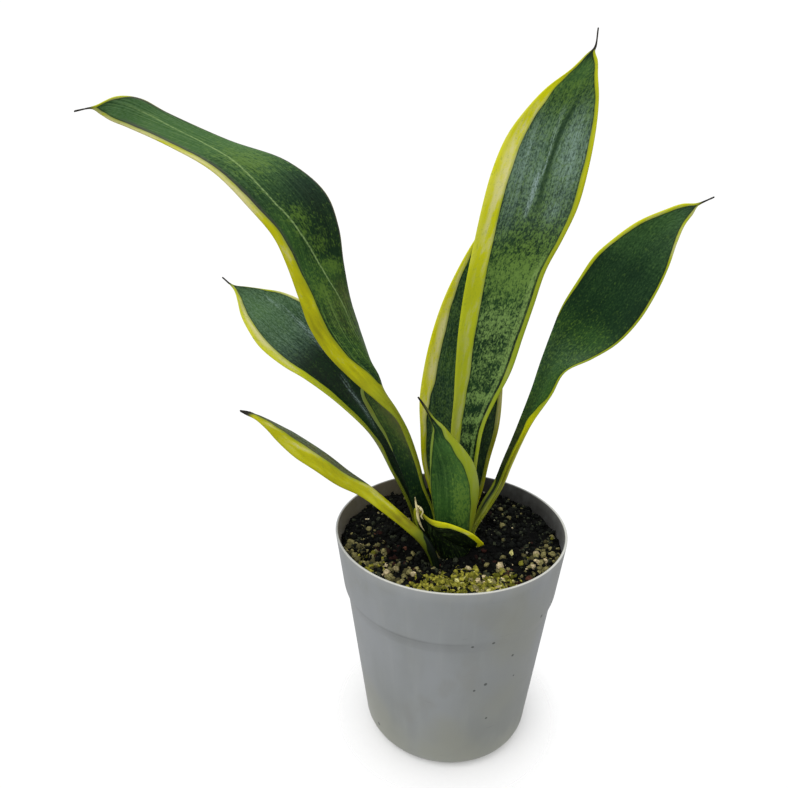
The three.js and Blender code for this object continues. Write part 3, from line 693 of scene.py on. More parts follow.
PIT_PATTERN = ((1100, 1100, 1100), 3, 0.6)
ROOT_PATTERN = ((40, 40, 320), 3, 0.6)
STRAND_PATTERN = ((1500, 1500, 300), 2, 0.6)


# --- shader graphs


class Graph:
    """The nodes of a material or a world. Most methods return the socket that leaves a node."""

    def __init__(self, name, kind="materials"):
        self.owner = getattr(bpy.data, kind).new(name)
        self.owner.use_nodes = True
        self.tree = self.owner.node_tree
        self.tree.nodes.clear()

    def node(self, kind, *values, named=None, **settings):
        """A node with its settings. Its inputs get the values in order, and the named ones."""
        made = self.tree.nodes.new("ShaderNode" + kind)
        for key, value in settings.items():
            setattr(made, key, value)
        for key, value in {**dict(enumerate(values)), **(named or {})}.items():
            if isinstance(value, bpy.types.NodeSocket):
                self.tree.links.new(value, made.inputs[key])
            else:
                made.inputs[key].default_value = value
        return made

    def math(self, operation, a, b=0.0):
        return self.node("Math", a, b, operation=operation).outputs[0]

    def add(self, a, *others):
        for b in others:
            a = self.math("ADD", a, b)
        return a

    def times(self, a, *others):
        for b in others:
            a = self.math("MULTIPLY", a, b)
        return a

    def less(self, a, b):
        return self.math("SUBTRACT", a, b)

    def apart(self, a, b):
        return self.math("ABSOLUTE", self.less(a, b))

    def step(self, value, low, high, out_low=0.0, out_high=1.0):
        """A smooth step from out_low, where value is low, to out_high, where it is high."""
        given = (value, low, high, out_low, out_high)
        return self.node("MapRange", *given, interpolation_type="SMOOTHSTEP").outputs[0]

    def fade(self, value, low, high, most=1.0):
        """A smooth step from most, where value is low, to 0, where it is high."""
        return self.step(value, low, high, most, 0.0)

    def swing(self, pattern, weight):
        """A noise pattern moved to run about 0, times a weight."""
        return self.times(self.less(pattern, 0.5), weight)

    def share(self, pattern, amount, soft):
        """1 on about that share of a noise pattern and 0 elsewhere, with soft borders."""
        level = self.add(self.times(amount, -0.24), 0.62)
        return self.step(self.less(pattern, level), -soft, soft)

    def read(self, attribute, output="Fac"):
        """A number, or the other output, that each vertex carries."""
        return self.node("Attribute", attribute_name=attribute).outputs[output]

    def place(self):
        return self.node("TexCoord").outputs["Object"]

    def separate(self, vector):
        return self.node("SeparateXYZ", vector).outputs

    def noise(self, place, scale, detail, roughness=0.5, distortion=0.0, shift=(0, 0, 0)):
        """A pattern from 0 to 1 that runs finer in a direction the larger its scale there is."""
        scaled = self.node("Mapping", place, shift, named={"Scale": scale}).outputs[0]
        given = {"Vector": scaled, "Scale": 1.0, "Detail": detail, "Roughness": roughness}
        return self.node("TexNoise", named={**given, "Distortion": distortion}).outputs["Fac"]

    def distance(self, place, point):
        """How far a place is, in metres, from a point in millimetres."""
        point = [value * MM for value in point]
        return self.node("VectorMath", place, point, operation="DISTANCE").outputs["Value"]

    def mix(self, factor, a, b):
        """Colour a, or b where the factor is 1."""
        return self.node("Mix", named={0: factor, 6: a, 7: b}, data_type="RGBA").outputs[2]

    def coats(self, colour, *coats):
        """The colour under coats of other colours, each a (share, colour)."""
        for share, coat in coats:
            colour = self.mix(share, colour, coat)
        return colour

    def bump(self, height, depth, strength):
        """A relief as deep as depth in millimetres."""
        given = {"Height": height, "Distance": depth * MM, "Strength": strength}
        return self.node("Bump", named=given).outputs[0]

    def surface(self, colour, roughness, bump, **constants):
        """The finished material; constants are set on the shader's own sockets."""
        given = {key.replace("_", " "): value for key, value in constants.items()}
        given |= {"Base Color": colour, "Roughness": roughness, "Normal": bump}
        return self.finish(self.node("BsdfPrincipled", named=given))

    def finish(self, shader, output="OutputMaterial"):
        self.node(output, shader.outputs[0])
        return self.owner


# --- materials


def leaf_green(g, offset, seen):
    """The green between the margins, with painted sheen, shade and glints, and the painted highlight on
    the keel's crest, which goes on top of all.
    """
    fine, ragged, lines = seen["fine"], seen["ragged"], seen["lines"]
    grain = g.read("grain")
    tone = g.add(g.read("tone"), g.swing(seen["patch"], 0.5))
    tone = g.add(tone, g.swing(lines, g.add(g.times(grain, 1.2), 0.18)), g.swing(fine, 0.5))

    # Flecks: as dense as the mottle says, ragged, in short dashes, and finely speckled.
    mottle = g.add(g.read("mottle"), g.swing(ragged, 1.6), g.swing(seen["dash"], 2.4))
    lit = g.step(g.add(mottle, g.swing(fine, 2.0)), 0.1, 1.2)
    pale = g.read("pale")
    fleck = g.mix(g.step(pale, 0.4, 1.0), LEAF_FLECK, LEAF_PALE)
    flecked = g.times(lit, g.math("MINIMUM", g.times(pale, 1.5), 1.0))

    pale_line = g.times(grain, g.step(lines, 0.5, 0.68), g.step(ragged, 0.35, 0.6, 0.2, 0.8))
    # Wax bloom, with a painted sheen of reflected light in it.
    wax_and_sheen = g.times(g.read("bloom_and_sheen"), g.step(lines, 0.3, 0.65, 0.4, 1.0))
    wax_and_sheen = g.times(wax_and_sheen, g.step(fine, 0.36, 0.6, 0.35, 1.0))

    # The keel is painted shade in a groove or a painted highlight on a crest, and the streak is a broken
    # painted glint.
    keel = g.read("keel")
    beside = g.apart(offset, g.read("keel_mm"))
    groove_shade = g.times(g.math("MAXIMUM", g.times(keel, -1.0), 0.0), g.fade(beside, 0.4, 2.2))
    crest_highlight = g.times(g.math("MAXIMUM", keel, 0.0), g.fade(beside, 0.1, 0.6))
    crest_highlight = g.times(crest_highlight, g.step(fine, 0.35, 0.6, 0.4, 1.0))
    glint = g.times(g.read("streak"), g.fade(g.apart(offset, g.read("streak_mm")), 0.2, 2.0))
    glint = g.times(glint, g.step(fine, 0.4, 0.6, 0.2, 1.0), g.step(lines, 0.35, 0.6, 0.1, 1.0))
    green = g.coats(
        LEAF_SHADE,
        (g.step(tone, 0.0, 0.5), LEAF_DARK),
        (g.step(tone, 0.4, 1.0), LEAF_LIGHT),
        (flecked, fleck),
        (pale_line, STRIPE_GREEN),
        (wax_and_sheen, LEAF_WAX_AND_SHEEN),
        (groove_shade, LEAF_DARK),
        (glint, LEAF_GLINT),
    )
    return green, crest_highlight


def leaf_yellow(g, from_left, from_right, inside, seen):
    """The margins: cream patches, freckles, duller or greener in places."""
    veil, freckle = seen["veil"], seen["freckle"]
    mixed = g.add(g.times(veil, 0.75), g.times(freckle, 0.25))
    depth = g.math("DIVIDE", from_left, g.add(g.read("yellow_left"), 0.1))
    cream = g.times(g.share(mixed, g.read("cream"), 0.12), g.step(depth, 0.15, 0.6, 0.15, 0.95))
    nearer_left = g.step(g.less(from_right, from_left), 0.0, 1.0)
    return g.coats(
        MARGIN_YELLOW,
        (cream, MARGIN_CREAM),
        (g.read("green_edge"), MARGIN_GREEN),
        (g.times(g.read("left_green"), nearer_left), STRIPE_GREEN),
        (g.times(g.read("olive"), g.step(veil, 0.25, 0.7, 1.0, 0.3)), MARGIN_OLIVE),
        (g.step(freckle, 0.53, 0.72, 0.0, 0.35), MARGIN_GREEN),
        (g.step(inside, -1.6, -0.1, 0.0, 0.55), MARGIN_GREEN),
    )


def leaf_material(name, seed):
    """Leathery blade: yellow margins, mottled green between them, a dried spine, and painted shade, sheen
    and glints.
    """
    g = Graph(name)
    blade = g.read("blade_mm", "Vector")
    shift = [step * seed for step in LEAF_SHIFT]
    seen = {key: g.noise(blade, *pattern, shift=shift) for key, pattern in LEAF_PATTERNS.items()}
    fine = seen["fine"]
    green, crest_highlight = leaf_green(g, g.separate(blade)[0], seen)

    # How far a place is inside the yellow margins, whose inner border wobbles.
    from_left, from_right = g.read("from_left"), g.read("from_right")
    into_left = g.less(from_left, g.read("yellow_left"))
    into_right = g.less(from_right, g.read("yellow_right"))
    inside = g.add(g.math("MINIMUM", into_left, into_right), g.swing(seen["wobble"], 0.9))

    # The pale stripe beside the right margin, and the dark line between the two.
    stripe = g.times(g.read("stripe"), g.step(into_right, 1.1, 1.4))
    stripe = g.times(stripe, g.fade(g.less(into_right, g.read("stripe_mm")), 1.1, 1.7))
    line = g.times(g.read("stripe"), g.step(into_right, 0.0, 0.3), g.fade(into_right, 1.0, 1.4))
    green = g.coats(
        green,
        (g.times(stripe, g.step(fine, 0.38, 0.58, 0.35, 1.0)), STRIPE_GREEN),
        (g.times(line, 0.75), LEAF_SHADE),
        (g.fade(inside, 0.1, 1.0, 0.6), LEAF_SHADE),
        (g.times(g.read("tan"), g.step(seen["ragged"], 0.3, 0.65, 0.5, 1.0)), LEAF_TAN),
        (g.times(g.read("brown_inner"), g.fade(into_right, 0.4, 2.4)), RIM_BROWN),
        (g.times(g.read("brown_rim"), g.fade(from_left, 0.2, 1.1)), RIM_BROWN),
    )
    skin = g.coats(
        leaf_yellow(g, from_left, from_right, inside, seen),
        (g.step(inside, -0.2, 0.25), green),
        (crest_highlight, KEEL_HIGHLIGHT),
        # Painted shade, then the dried spine.
        (g.read("shade"), LEAF_SHADE),
        (g.read("dry"), DRY_BROWN),
    )
    relief = g.add(g.times(seen["lines"], 0.7), g.times(fine, 0.3))
    rough = g.add(g.step(fine, 0.35, 0.65, 0.4, 0.5), g.times(g.read("dry"), 0.3))
    bump = g.bump(relief, 0.12, 0.6)
    return g.surface(skin, rough, bump, IOR=1.45, Specular_IOR_Level=0.18)


def band_crease_shade(g, across, height, blotch):
    """How dark the painted shade under the pot's band is, from 0 to its share."""
    under = g.less(BAND_CREASE_SHADE["height"] * MM, height)
    gone, full = BAND_CREASE_SHADE["half_width"]
    line = g.step(g.math("ABSOLUTE", under), gone * MM, full * MM)
    below = g.fade(under, 0.0, BAND_CREASE_SHADE["below"] * MM)
    below = g.times(below, g.step(under, -full * MM, full * MM))
    crease_shade = g.times(g.add(line, below), BAND_CREASE_SHADE["share"], g.step(blotch, 0.35, 0.6, 0.5, 1.0))
    for side in ("left", "right"):
        gone, full = BAND_CREASE_SHADE[side]
        crease_shade = g.times(crease_shade, g.step(across, gone * MM, full * MM))
    return crease_shade


def pot_patch(g, place, cloud, x, y, z, reach, share):
    """A ragged, dusty patch."""
    ragged = g.add(g.distance(place, (x, y, z)), g.swing(cloud, 0.06))
    return g.fade(ragged, 0.1 * reach * MM, reach * MM, share), POT_FILM


def pot_speck(g, place, x, y, z, radius):
    """A speck of dirt with a soft border."""
    apart = g.distance(place, (x, y, z))
    return g.fade(apart, radius * MM, 1.9 * radius * MM, 0.85), POT_SPECK


def pot_material():
    """Grey moulded plastic: faint flow marks, dust, scuffs and dirt specks, with painted shade under the
    band and inside, and a painted highlight on the rim.
    """
    g = Graph("pot_grey_plastic")
    place = g.place()
    across, along, height = g.separate(place)
    seen = {key: g.noise(place, *pattern) for key, pattern in POT_PATTERNS.items()}
    cloud, blotch = seen["cloud"], seen["blotch"]
    dust = g.fade(height, 0.0, POT_WEAR_AND_LIGHT["dust_top"] * MM, POT_WEAR_AND_LIGHT["dust_share"])
    silt_and_shade = g.mix(g.step(across, *[side * MM for side in POT_WEAR_AND_LIGHT["silt_and_shade"]]), POT_SILT, POT_STAIN_AND_SHADE)
    level, by_x, by_y = POT_WEAR_AND_LIGHT["rim"]
    rim_highlight = g.add(g.times(across, by_x), level, g.times(along, by_y))
    body = g.coats(
        POT_GREY,
        (g.step(cloud, 0.3, 0.7), POT_CLOUD),
        (g.step(seen["flow"], 0.45, 0.8, 0.0, 0.3), POT_FLOW),
        (g.times(dust, g.step(cloud, 0.35, 0.65, 0.25, 0.9)), POT_DUST),
        *[pot_patch(g, place, cloud, *patch) for patch in POT_PATCHES],
        (g.step(blotch, 0.5, 0.7, 0.0, 0.35), POT_BLOTCH),
        (band_crease_shade(g, across, height, blotch), POT_CREASE_SHADE),
        (g.step(seen["scuff"], 0.66, 0.8, 0.0, 0.35), POT_SCUFF),
        *[pot_speck(g, place, *speck) for speck in POT_SPECKS],
        # The inside: silt and stain, darkened further as painted shade, most of all on the right.
        (g.times(g.read("inside"), g.step(seen["stain_and_shade"], 0.25, 0.6, 0.86, 0.99)), silt_and_shade),
        # A painted highlight on the rim, paler towards the front and right.
        (g.times(g.read("rim"), g.step(rim_highlight, 0.1, 0.9, 0.1, 1.0)), POT_RIM_HIGHLIGHT),
    )
    rough = g.step(cloud, 0.2, 0.8, 0.5, 0.62)
    bump = g.bump(seen["grain"], 0.03, 0.5)
    return g.surface(body, rough, bump, IOR=1.49, Sheen_Weight=0.15, Sheen_Roughness=0.5)


def soil_material():
    """Dark peat between the loose bits, greener under the crust of moss."""
    g = Graph("potting_mix_peat")
    place = g.place()
    crumb = g.noise(place, *CRUMB_PATTERN)
    patch = g.noise(place, *PEAT_PATTERN)
    crust = g.fade(g.distance(place, MOSS_CRUST["place"]), 0.0, MOSS_CRUST["reach"] * MM)
    colour = g.coats(
        PEAT_BLACK,
        (g.step(crumb, 0.35, 0.7), PEAT_DARK),
        (g.step(patch, 0.5, 0.75, 0.0, 0.5), PEAT_BROWN),
        (g.times(crust, g.step(crumb, 0.35, 0.6, 0.4, 1.0)), CRUST_GREEN),
    )
    return g.surface(colour, 0.95, g.bump(crumb, 0.5, 0.9), Specular_IOR_Level=0.1)


def bit_material(name, colours, rare_from):
    """Loose bits of the mix; tone is one random number for each bit."""
    g = Graph(name)
    dull, bright, rare = [srgb(*colour) for colour in colours]
    tone = g.read("tone")
    pit = g.noise(g.place(), *PIT_PATTERN)
    colour = g.coats(
        dull,
        (g.step(tone, 0.0, 0.75), bright),
        (g.step(tone, rare_from, rare_from + 0.04), rare),
        (g.fade(pit, 0.42, 0.62, 0.6), dull),
    )
    return g.surface(colour, 0.9, g.bump(pit, 0.25, 0.8), Specular_IOR_Level=0.1)


def rhizome_material():
    g = Graph("rhizome_skin")
    rings = g.noise(g.place(), *ROOT_PATTERN)
    colour = g.mix(g.step(rings, 0.35, 0.65), ROOT_BROWN, ROOT_PALE)
    return g.surface(colour, 0.8, g.bump(rings, 0.3, 0.8))


def fibre_material():
    g = Graph("dry_fibre")
    strand = g.noise(g.place(), *STRAND_PATTERN)
    colour = g.mix(g.step(strand, 0.3, 0.55), FIBRE_BROWN, FIBRE_CREAM)
    return g.surface(colour, 0.85, g.bump(strand, 0.1, 0.6))


# --- mesh helpers


def add_object(name, data):
    """A new object at the origin for a mesh, a light or a camera."""
    made = bpy.data.objects.new(name, data)
    bpy.context.scene.collection.objects.link(made)
    return made


def basic_mesh(name, make, **sizes):
    """A circle, cone or ball of those sizes as a mesh."""
    shape = bmesh.new()
    make(shape, **sizes)
    mesh = bpy.data.meshes.new(name)
    shape.to_mesh(mesh)
    shape.free()
    return mesh


def add_piece(name, points, faces, material, node=None):
    """A smooth-shaded mesh object on the one body. points are in millimetres."""
    mesh = bpy.data.meshes.new(name)
    mesh.from_pydata([tuple(point) for point in np.array(points) * MM], [], faces)
    mesh.polygons.foreach_set("use_smooth", [True] * len(mesh.polygons))
    mesh.materials.append(material)
    mesh.update()
    piece = add_object(name, mesh)
    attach(piece, "root")
    if node:
        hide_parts(node)
    return piece


def add_numbers(piece, name, values):
    """One number for each vertex, which the material reads by name."""
    piece.data.attributes.new(name, "FLOAT", "POINT").data.foreach_set("value", values)


def tube_faces(rings, loop, start=0):
    """The sides of a tube of rings with loop points in each, and its two flat ends."""
    faces = []
    for first in range(start, start + (rings - 1) * loop, loop):
        for i in range(loop):
            a, b = first + i, first + (i + 1) % loop
            faces.append((a, b, b + loop, a + loop))
    last = start + (rings - 1) * loop
    faces.append(tuple(range(start + loop - 1, start - 1, -1)))
    faces.append(tuple(range(last, last + loop)))
    return faces


def spline(points, per_span):
    """Points of a centripetal Catmull-Rom curve, with per_span steps between neighbours."""
    p = np.array(points, float)
    p = np.vstack([2 * p[0] - p[1], p, 2 * p[-1] - p[-2]])
    out = []
    for i in range(1, len(p) - 2):
        gaps = [np.sum((p[i + k] - p[i + k - 1]) ** 2) ** 0.25 for k in range(3)]
        d1 = gaps[1] if gaps[1] > 1e-4 else 1.0
        d0 = gaps[0] if gaps[0] > 1e-4 else d1
        d2 = gaps[2] if gaps[2] > 1e-4 else d1
        a, b, c, d = p[i - 1 : i + 3]
        leave = ((b - a) / d0 - (c - a) / (d0 + d1) + (c - b) / d1) * d1
        reach = ((c - b) / d1 - (d - b) / (d1 + d2) + (d - c) / d2) * d1
        last = i == len(p) - 3
        for t in np.linspace(0, 1, per_span + 1)[: None if last else -1]:
            h = t * t * (3 - 2 * t)
            bend = leave * (t * (1 - t) ** 2) - reach * (t * t * (1 - t))
            out.append(b * (1 - h) + c * h + bend)
    return np.array(out)


def number_spline(values, per_span):
    """The same curve through single numbers that stand one apart."""
    return spline([[value, i, 0] for i, value in enumerate(values)], per_span)[:, 0]


def along_table(table, stations, straight):
    """A {station: value} table read at each station, with straight or smooth joins."""
    at, value = list(table), list(table.values())
    if straight or len(at) == 1:
        return np.interp(stations, at, value)
    out = []
    for s in stations:
        i = int(np.clip(np.searchsorted(at, s, "right") - 1, 0, len(at) - 2))
        t = np.clip((s - at[i]) / (at[i + 1] - at[i]), 0, 1)
        out.append(value[i] + (value[i + 1] - value[i]) * t * t * (3 - 2 * t))
    return np.array(out)


def unit(v):
    return v / np.linalg.norm(v)


def running_sum(steps):
    """How far each point is along a path whose steps are given."""
    return np.concatenate([[0], np.cumsum(np.linalg.norm(steps, axis=1))])


# --- leaves


def blade_thickness(part):
    """Thickness at the middle of the blade, part of the way along it."""
    base, middle, tip = BLADE["base_thickness"], BLADE["mid_thickness"], BLADE["tip_thickness"]
    return np.interp(part, (0, 0.5, 1), (base, middle, tip))


def blade_columns():
    """Places from margin to margin, -1 to 1, closest together at the margins."""
    even = np.linspace(-1, 1, BLADE["columns"])
    crowded = np.sin(even * math.pi / 2)
    return even * BLADE["even_share"] + crowded * (1 - BLADE["even_share"])


def blade_ring(left, right, run, sink, thick):
    """The points round one ring, and how far its columns are from the left margin."""
    columns = blade_columns()
    half = np.linalg.norm(right - left) / 2
    across = (right - left) / (2 * half)
    facing = unit(np.cross(across, run))
    bows = 1 - columns**2
    middle = (left + right) / 2 + np.outer(columns * half, across) - np.outer(sink * bows, facing)
    leans = np.hypot(half, 2 * sink * columns)
    out = np.outer(-2 * sink * columns / leans, across) + np.outer(half / leans, facing)
    edge = min(BLADE["margin_thickness"], thick)
    skins = (edge + (thick - edge) * bows) / 2
    skins[[0, -1]] *= BLADE["margin_round"]
    out *= skins[:, None]
    nose = BLADE["nose"] * edge
    left_tip = middle[0] - unit(middle[1] - middle[0]) * nose
    right_tip = middle[-1] + unit(middle[-1] - middle[-2]) * nose
    from_left = running_sum(np.diff(middle, axis=0))
    return [*(middle + out), right_tip, *(middle - out)[::-1], left_tip], from_left


def spots_across(spots, key, station, across):
    """What a leaf's spots add to one of its numbers at a station, for each place across."""
    total = np.zeros(len(across))
    for name, at, place, along, beside, amount in spots:
        if name == key:
            near = np.exp(-(((station - at) / along) ** 2) - ((across - place) / beside) ** 2)
            total += amount * near
    return total


def build_leaf(node, rows, look, spots, material):
    """A closed blade, thick in the middle, with rounded margins, and its colouring numbers."""
    steps = BLADE["rings_per_station"]
    left = spline([row[0:3] for row in rows], steps)
    right = spline([row[3:6] for row in rows], steps)
    sink = number_spline([row[6] for row in rows], steps)
    run_left, run_right = np.gradient(left, axis=0), np.gradient(right, axis=0)
    lengths = running_sum(np.diff((left + right) / 2, axis=0))
    rings = len(left)
    stations = np.linspace(0, len(rows) - 1, rings)
    tables = {
        key: along_table(table, stations, key.endswith("_mm"))
        for key, table in {**PLAIN, **look}.items()
    }
    columns = blade_columns()
    count = len(columns)
    order = [*range(count), -1, *range(count - 1, -1, -1), 0]

    points, blade_mm = [], []
    numbers = {key: [] for key in (*tables, "from_left", "from_right")}
    for ring in range(rings):
        run = unit(unit(run_left[ring]) + unit(run_right[ring]))
        thick = blade_thickness(ring / (rings - 1))
        around, from_left = blade_ring(left[ring], right[ring], run, sink[ring], thick)
        points += around
        here = {
            key: table[ring] + spots_across(spots, key, stations[ring], columns)
            for key, table in tables.items()
        }
        for turn, i in enumerate(order):
            blade_mm += [from_left[i] - from_left[-1] / 2, lengths[ring], 0.0]
            numbers["from_left"].append(from_left[i])
            numbers["from_right"].append(from_left[-1] - from_left[i])
            for key in tables:
                wider = key == "yellow_right" and turn > count
                numbers[key].append(here[key][i] + (here["back_right"][i] if wider else 0))

    faces = tube_faces(rings, len(order))
    piece = add_piece(node + "_blade", points, faces, material, node=node)
    for key, values in numbers.items():
        add_numbers(piece, key, values)
    vector = piece.data.attributes.new("blade_mm", "FLOAT_VECTOR", "POINT")
    vector.data.foreach_set("vector", blade_mm)


def build_fibre(material):
    """The torn, dried fibre that curls off the tip of the sheath."""
    steps, sides = FIBRE_SHAPE["steps"], FIBRE_SHAPE["sides"]
    points, faces = [], []
    for strand in FIBRE:
        path = spline([point[0:3] for point in strand], steps)
        widths = number_spline([point[3] for point in strand], steps)
        faces += tube_faces(len(path), sides, len(points))
        for ring, run in enumerate(np.gradient(path, axis=0)):
            run = unit(run)
            curl = FIBRE_SHAPE["curl"] * ring / len(path)
            wide = unit(np.cross(run, [math.sin(curl), -math.cos(curl), FIBRE_SHAPE["lean"]]))
            thin = np.cross(run, wide) * FIBRE_SHAPE["flat"]
            for i in range(sides):
                turn = 2 * math.pi * i / sides
                out = wide * math.cos(turn) + thin * math.sin(turn)
                points.append(path[ring] + out * widths[ring] / 2)
    add_piece("sheath_fibre", points, faces, material)


# --- pot


def wall_profile(inset, floor_height, top_height):
    """The wall's outer face moved inwards by inset, as (radius, height) from the floor up."""
    corner = POT["corner_radius"]
    bend = corner - inset
    points = []
    for i in range(POT["corner_steps"] + 1):
        turn = math.pi / 2 * i / POT["corner_steps"]
        radius = POT["foot_radius"] - corner + bend * math.sin(turn)
        points.append((radius, max(corner - bend * math.cos(turn), floor_height)))
    points.append((POT["step_radius"] - inset, POT["step_foot"]))
    points.append((POT["band_radius"] - inset, POT["band_foot"]))
    slope = (POT["rim_radius"] - POT["band_radius"]) / (POT["height"] - POT["band_foot"])
    points.append((POT["rim_radius"] - inset - slope * (POT["height"] - top_height), top_height))
    return points


def soften(profile, corners, radius):
    """The profile with the given corners cut into short arcs of about that radius."""
    out = []
    for i, here in enumerate(profile):
        if i not in corners:
            out.append(here)
            continue
        before, after = Vector(profile[i - 1]), Vector(profile[i + 1])
        here = Vector(here)
        start = here + (before - here).normalized() * radius
        end = here + (after - here).normalized() * radius
        for t in (0, 0.25, 0.5, 0.75, 1):
            bend = start * (1 - t) ** 2 + here * 2 * t * (1 - t) + end * t * t
            out.append((bend.x, bend.y))
    return out


def resample(profile, longest):
    """The profile with its long stretches cut into shorter ones."""
    out = [profile[0]]
    for a, b in zip(profile, profile[1:]):
        cuts = max(1, math.ceil(math.dist(a, b) / longest))
        for k in range(1, cuts + 1):
            out.append((a[0] + (b[0] - a[0]) * k / cuts, a[1] + (b[1] - a[1]) * k / cuts))
    return out


def turned(profile, segments):
    """Points and faces of a profile turned about the z axis; it starts and ends on the axis."""
    inner = profile[1:-1]
    points = [(0, 0, profile[0][1]), (0, 0, profile[-1][1])]
    for radius, height in inner:
        for s in range(segments):
            turn = 2 * math.pi * s / segments
            points.append((radius * math.cos(turn), radius * math.sin(turn), height))

    def at(row, s):
        return 2 + row * segments + s % segments

    faces = []
    last = len(inner) - 1
    for s in range(segments):
        faces.append((0, at(0, s + 1), at(0, s)))
        faces.append((1, at(last, s), at(last, s + 1)))
        for row in range(last):
            faces.append((at(row, s), at(row, s + 1), at(row + 1, s + 1), at(row + 1, s)))
    return np.array(points, float), faces


def drill(turn):
    """A cylinder through the pot's floor, at one drain hole."""
    ring = DRAIN["ring"] * MM
    place = Matrix.Translation((ring * math.cos(turn), ring * math.sin(turn), 0))
    sizes = {"radius1": DRAIN["radius"] * MM, "radius2": DRAIN["radius"] * MM}
    sizes |= {"depth": 4 * POT["floor"] * MM, "segments": DRAIN["sides"], "cap_ends": True}
    return add_object("drill", basic_mesh("drill", bmesh.ops.create_cone, matrix=place, **sizes))


def cut_drains(piece):
    """Cuts the ring of drain holes through the pot's floor."""
    cutters = [drill(2 * math.pi * i / DRAIN["count"]) for i in range(DRAIN["count"])]
    for cutter in cutters:
        cut = piece.modifiers.new("drain", "BOOLEAN")
        cut.operation, cut.object, cut.solver = "DIFFERENCE", cutter, "EXACT"
    depsgraph = bpy.context.evaluated_depsgraph_get()
    made = bpy.data.meshes.new_from_object(piece.evaluated_get(depsgraph))
    piece.modifiers.clear()
    piece.data = made
    for cutter in cutters:
        bpy.data.meshes.remove(cutter.data)


def build_pot(material):
    """The thin shell with its band, step, rounded edges and drain holes."""
    outside = wall_profile(0, 0, POT["height"])
    inside = wall_profile(POT["wall"], POT["floor"], POT["height"])
    outside = soften(outside, [len(outside) - 3, len(outside) - 2], POT["step_round"])
    rim = len(outside) - 1
    loop = soften(outside + inside[::-1], [rim, rim + 1], POT["lip"])
    profile = resample([(0, 0), *loop, (0, POT["floor"])], POT["longest_row"])
    points, faces = turned(profile, POT["segments"])
    piece = add_piece("pot_shell", points, faces, material, node="pot")
    cut_drains(piece)
    mark_pot(piece)


def mark_pot(piece):
    """Marks the pot's inside and its rim for the material, and keeps its flat faces flat."""
    place = np.array([v.co for v in piece.data.vertices]) / MM
    height = place[:, 2]
    radii, heights = zip(*wall_profile(0, 0, POT["height"]))
    depth = np.interp(height, heights, radii) - np.hypot(place[:, 0], place[:, 1])
    inside = (depth > 0.75 * POT["wall"]) & (height > POT["floor"] + 1)
    add_numbers(piece, "inside", inside.astype(float))
    rim = [POT["height"] - below for below in POT_WEAR_AND_LIGHT["rim_mark"]]
    add_numbers(piece, "rim", np.interp(height, rim, (0, 1)))
    for polygon in piece.data.polygons:
        polygon.use_smooth = abs(polygon.normal.z) < FLAT_FACE


# --- soil


def soil_height(x, y):
    """Height of the mix at a place, the same as in the solid."""
    out = math.hypot(x, y) / POT["rim_radius"]
    (a, b, c), (d, e, f) = SOIL["waves"]
    wave = math.sin(a * x + b * math.cos(c * y)) + math.sin(d * y + e * math.sin(f * x))
    return SOIL["level"] + SOIL["mound"] * (1 - out * out) + SOIL["lumps"] / 2 * wave


def soil_relief(x, y):
    """The crumbly surface: the height with finer lumps on it."""
    size = SOIL["crumb_size"]
    lump = noise.fractal(Vector((x / size, y / size, SOIL["crumb_slice"])), *SOIL["crumb_fractal"])
    return soil_height(x, y) + SOIL["crumb_height"] * lump - SOIL["crumb_drop"]


def soil_side():
    inset = POT["wall"] + SOIL["gap"]
    return wall_profile(inset, POT["floor"] + SOIL["gap"], SOIL["level"])


def build_soil_bed(material):
    side = soil_side()
    edge = side[-1][0]
    top = [(edge * k / SOIL["rings"], SOIL["level"]) for k in range(SOIL["rings"] - 1, -1, -1)]
    profile = [(0, POT["floor"] + SOIL["gap"]), *resample(side, SOIL["longest_row"]), *top]
    points, faces = turned(profile, SOIL["segments"])
    for point in points:
        if point[2] > SOIL["level"] - 1e-3:
            by_wall = math.hypot(point[0], point[1]) > edge - 0.1
            drop = SOIL["edge_drop"] if by_wall else 0
            point[2] = soil_relief(point[0], point[1]) - drop
    add_piece("soil_bed", points, faces, material, node="soil")


def near(x, y, cx, cy, reach):
    """1 at a place, falling evenly to 0 at that reach from it."""
    return max(0.0, 1 - math.hypot(x - cx, y - cy) / reach)


def out_of_shade(x, y):
    """0 in the places under the leaves that stay dark as painted shade, and 1 away from them."""
    return 1 - min(1.0, SHADED_GROUND["strength"] * sum(near(x, y, *place) for place in SHADED_GROUND["places"]))


def chance(kind, x, y):
    """How likely a bit of this kind is to lie at a place, from 0 to 1."""
    heaps = sum(weight * near(x, y, *place) for weight, *place in kind["heaps"])
    if kind["to_wall"]:
        outward = max(0.0, math.hypot(x, y) - TO_WALL["start"]) / TO_WALL["over"]
        heaps *= TO_WALL["level"] + outward
    likely = min(1.0, kind["base"] + heaps)
    return likely * out_of_shade(x, y) if kind["off_shade"] else likely


def scatter(kind):
    """Random places on the mix, x and y, kept as the chance there says."""
    dice = random.Random(kind["seed"])
    edge = soil_side()[-1][0] - SOIL["clear_of_wall"]
    places = []
    while len(places) < kind["count"]:
        reach = edge * math.sqrt(dice.random())
        turn = 2 * math.pi * dice.random()
        x, y = reach * math.cos(turn), reach * math.sin(turn)
        if dice.random() < chance(kind, x, y):
            places.append((x, y))
    return places


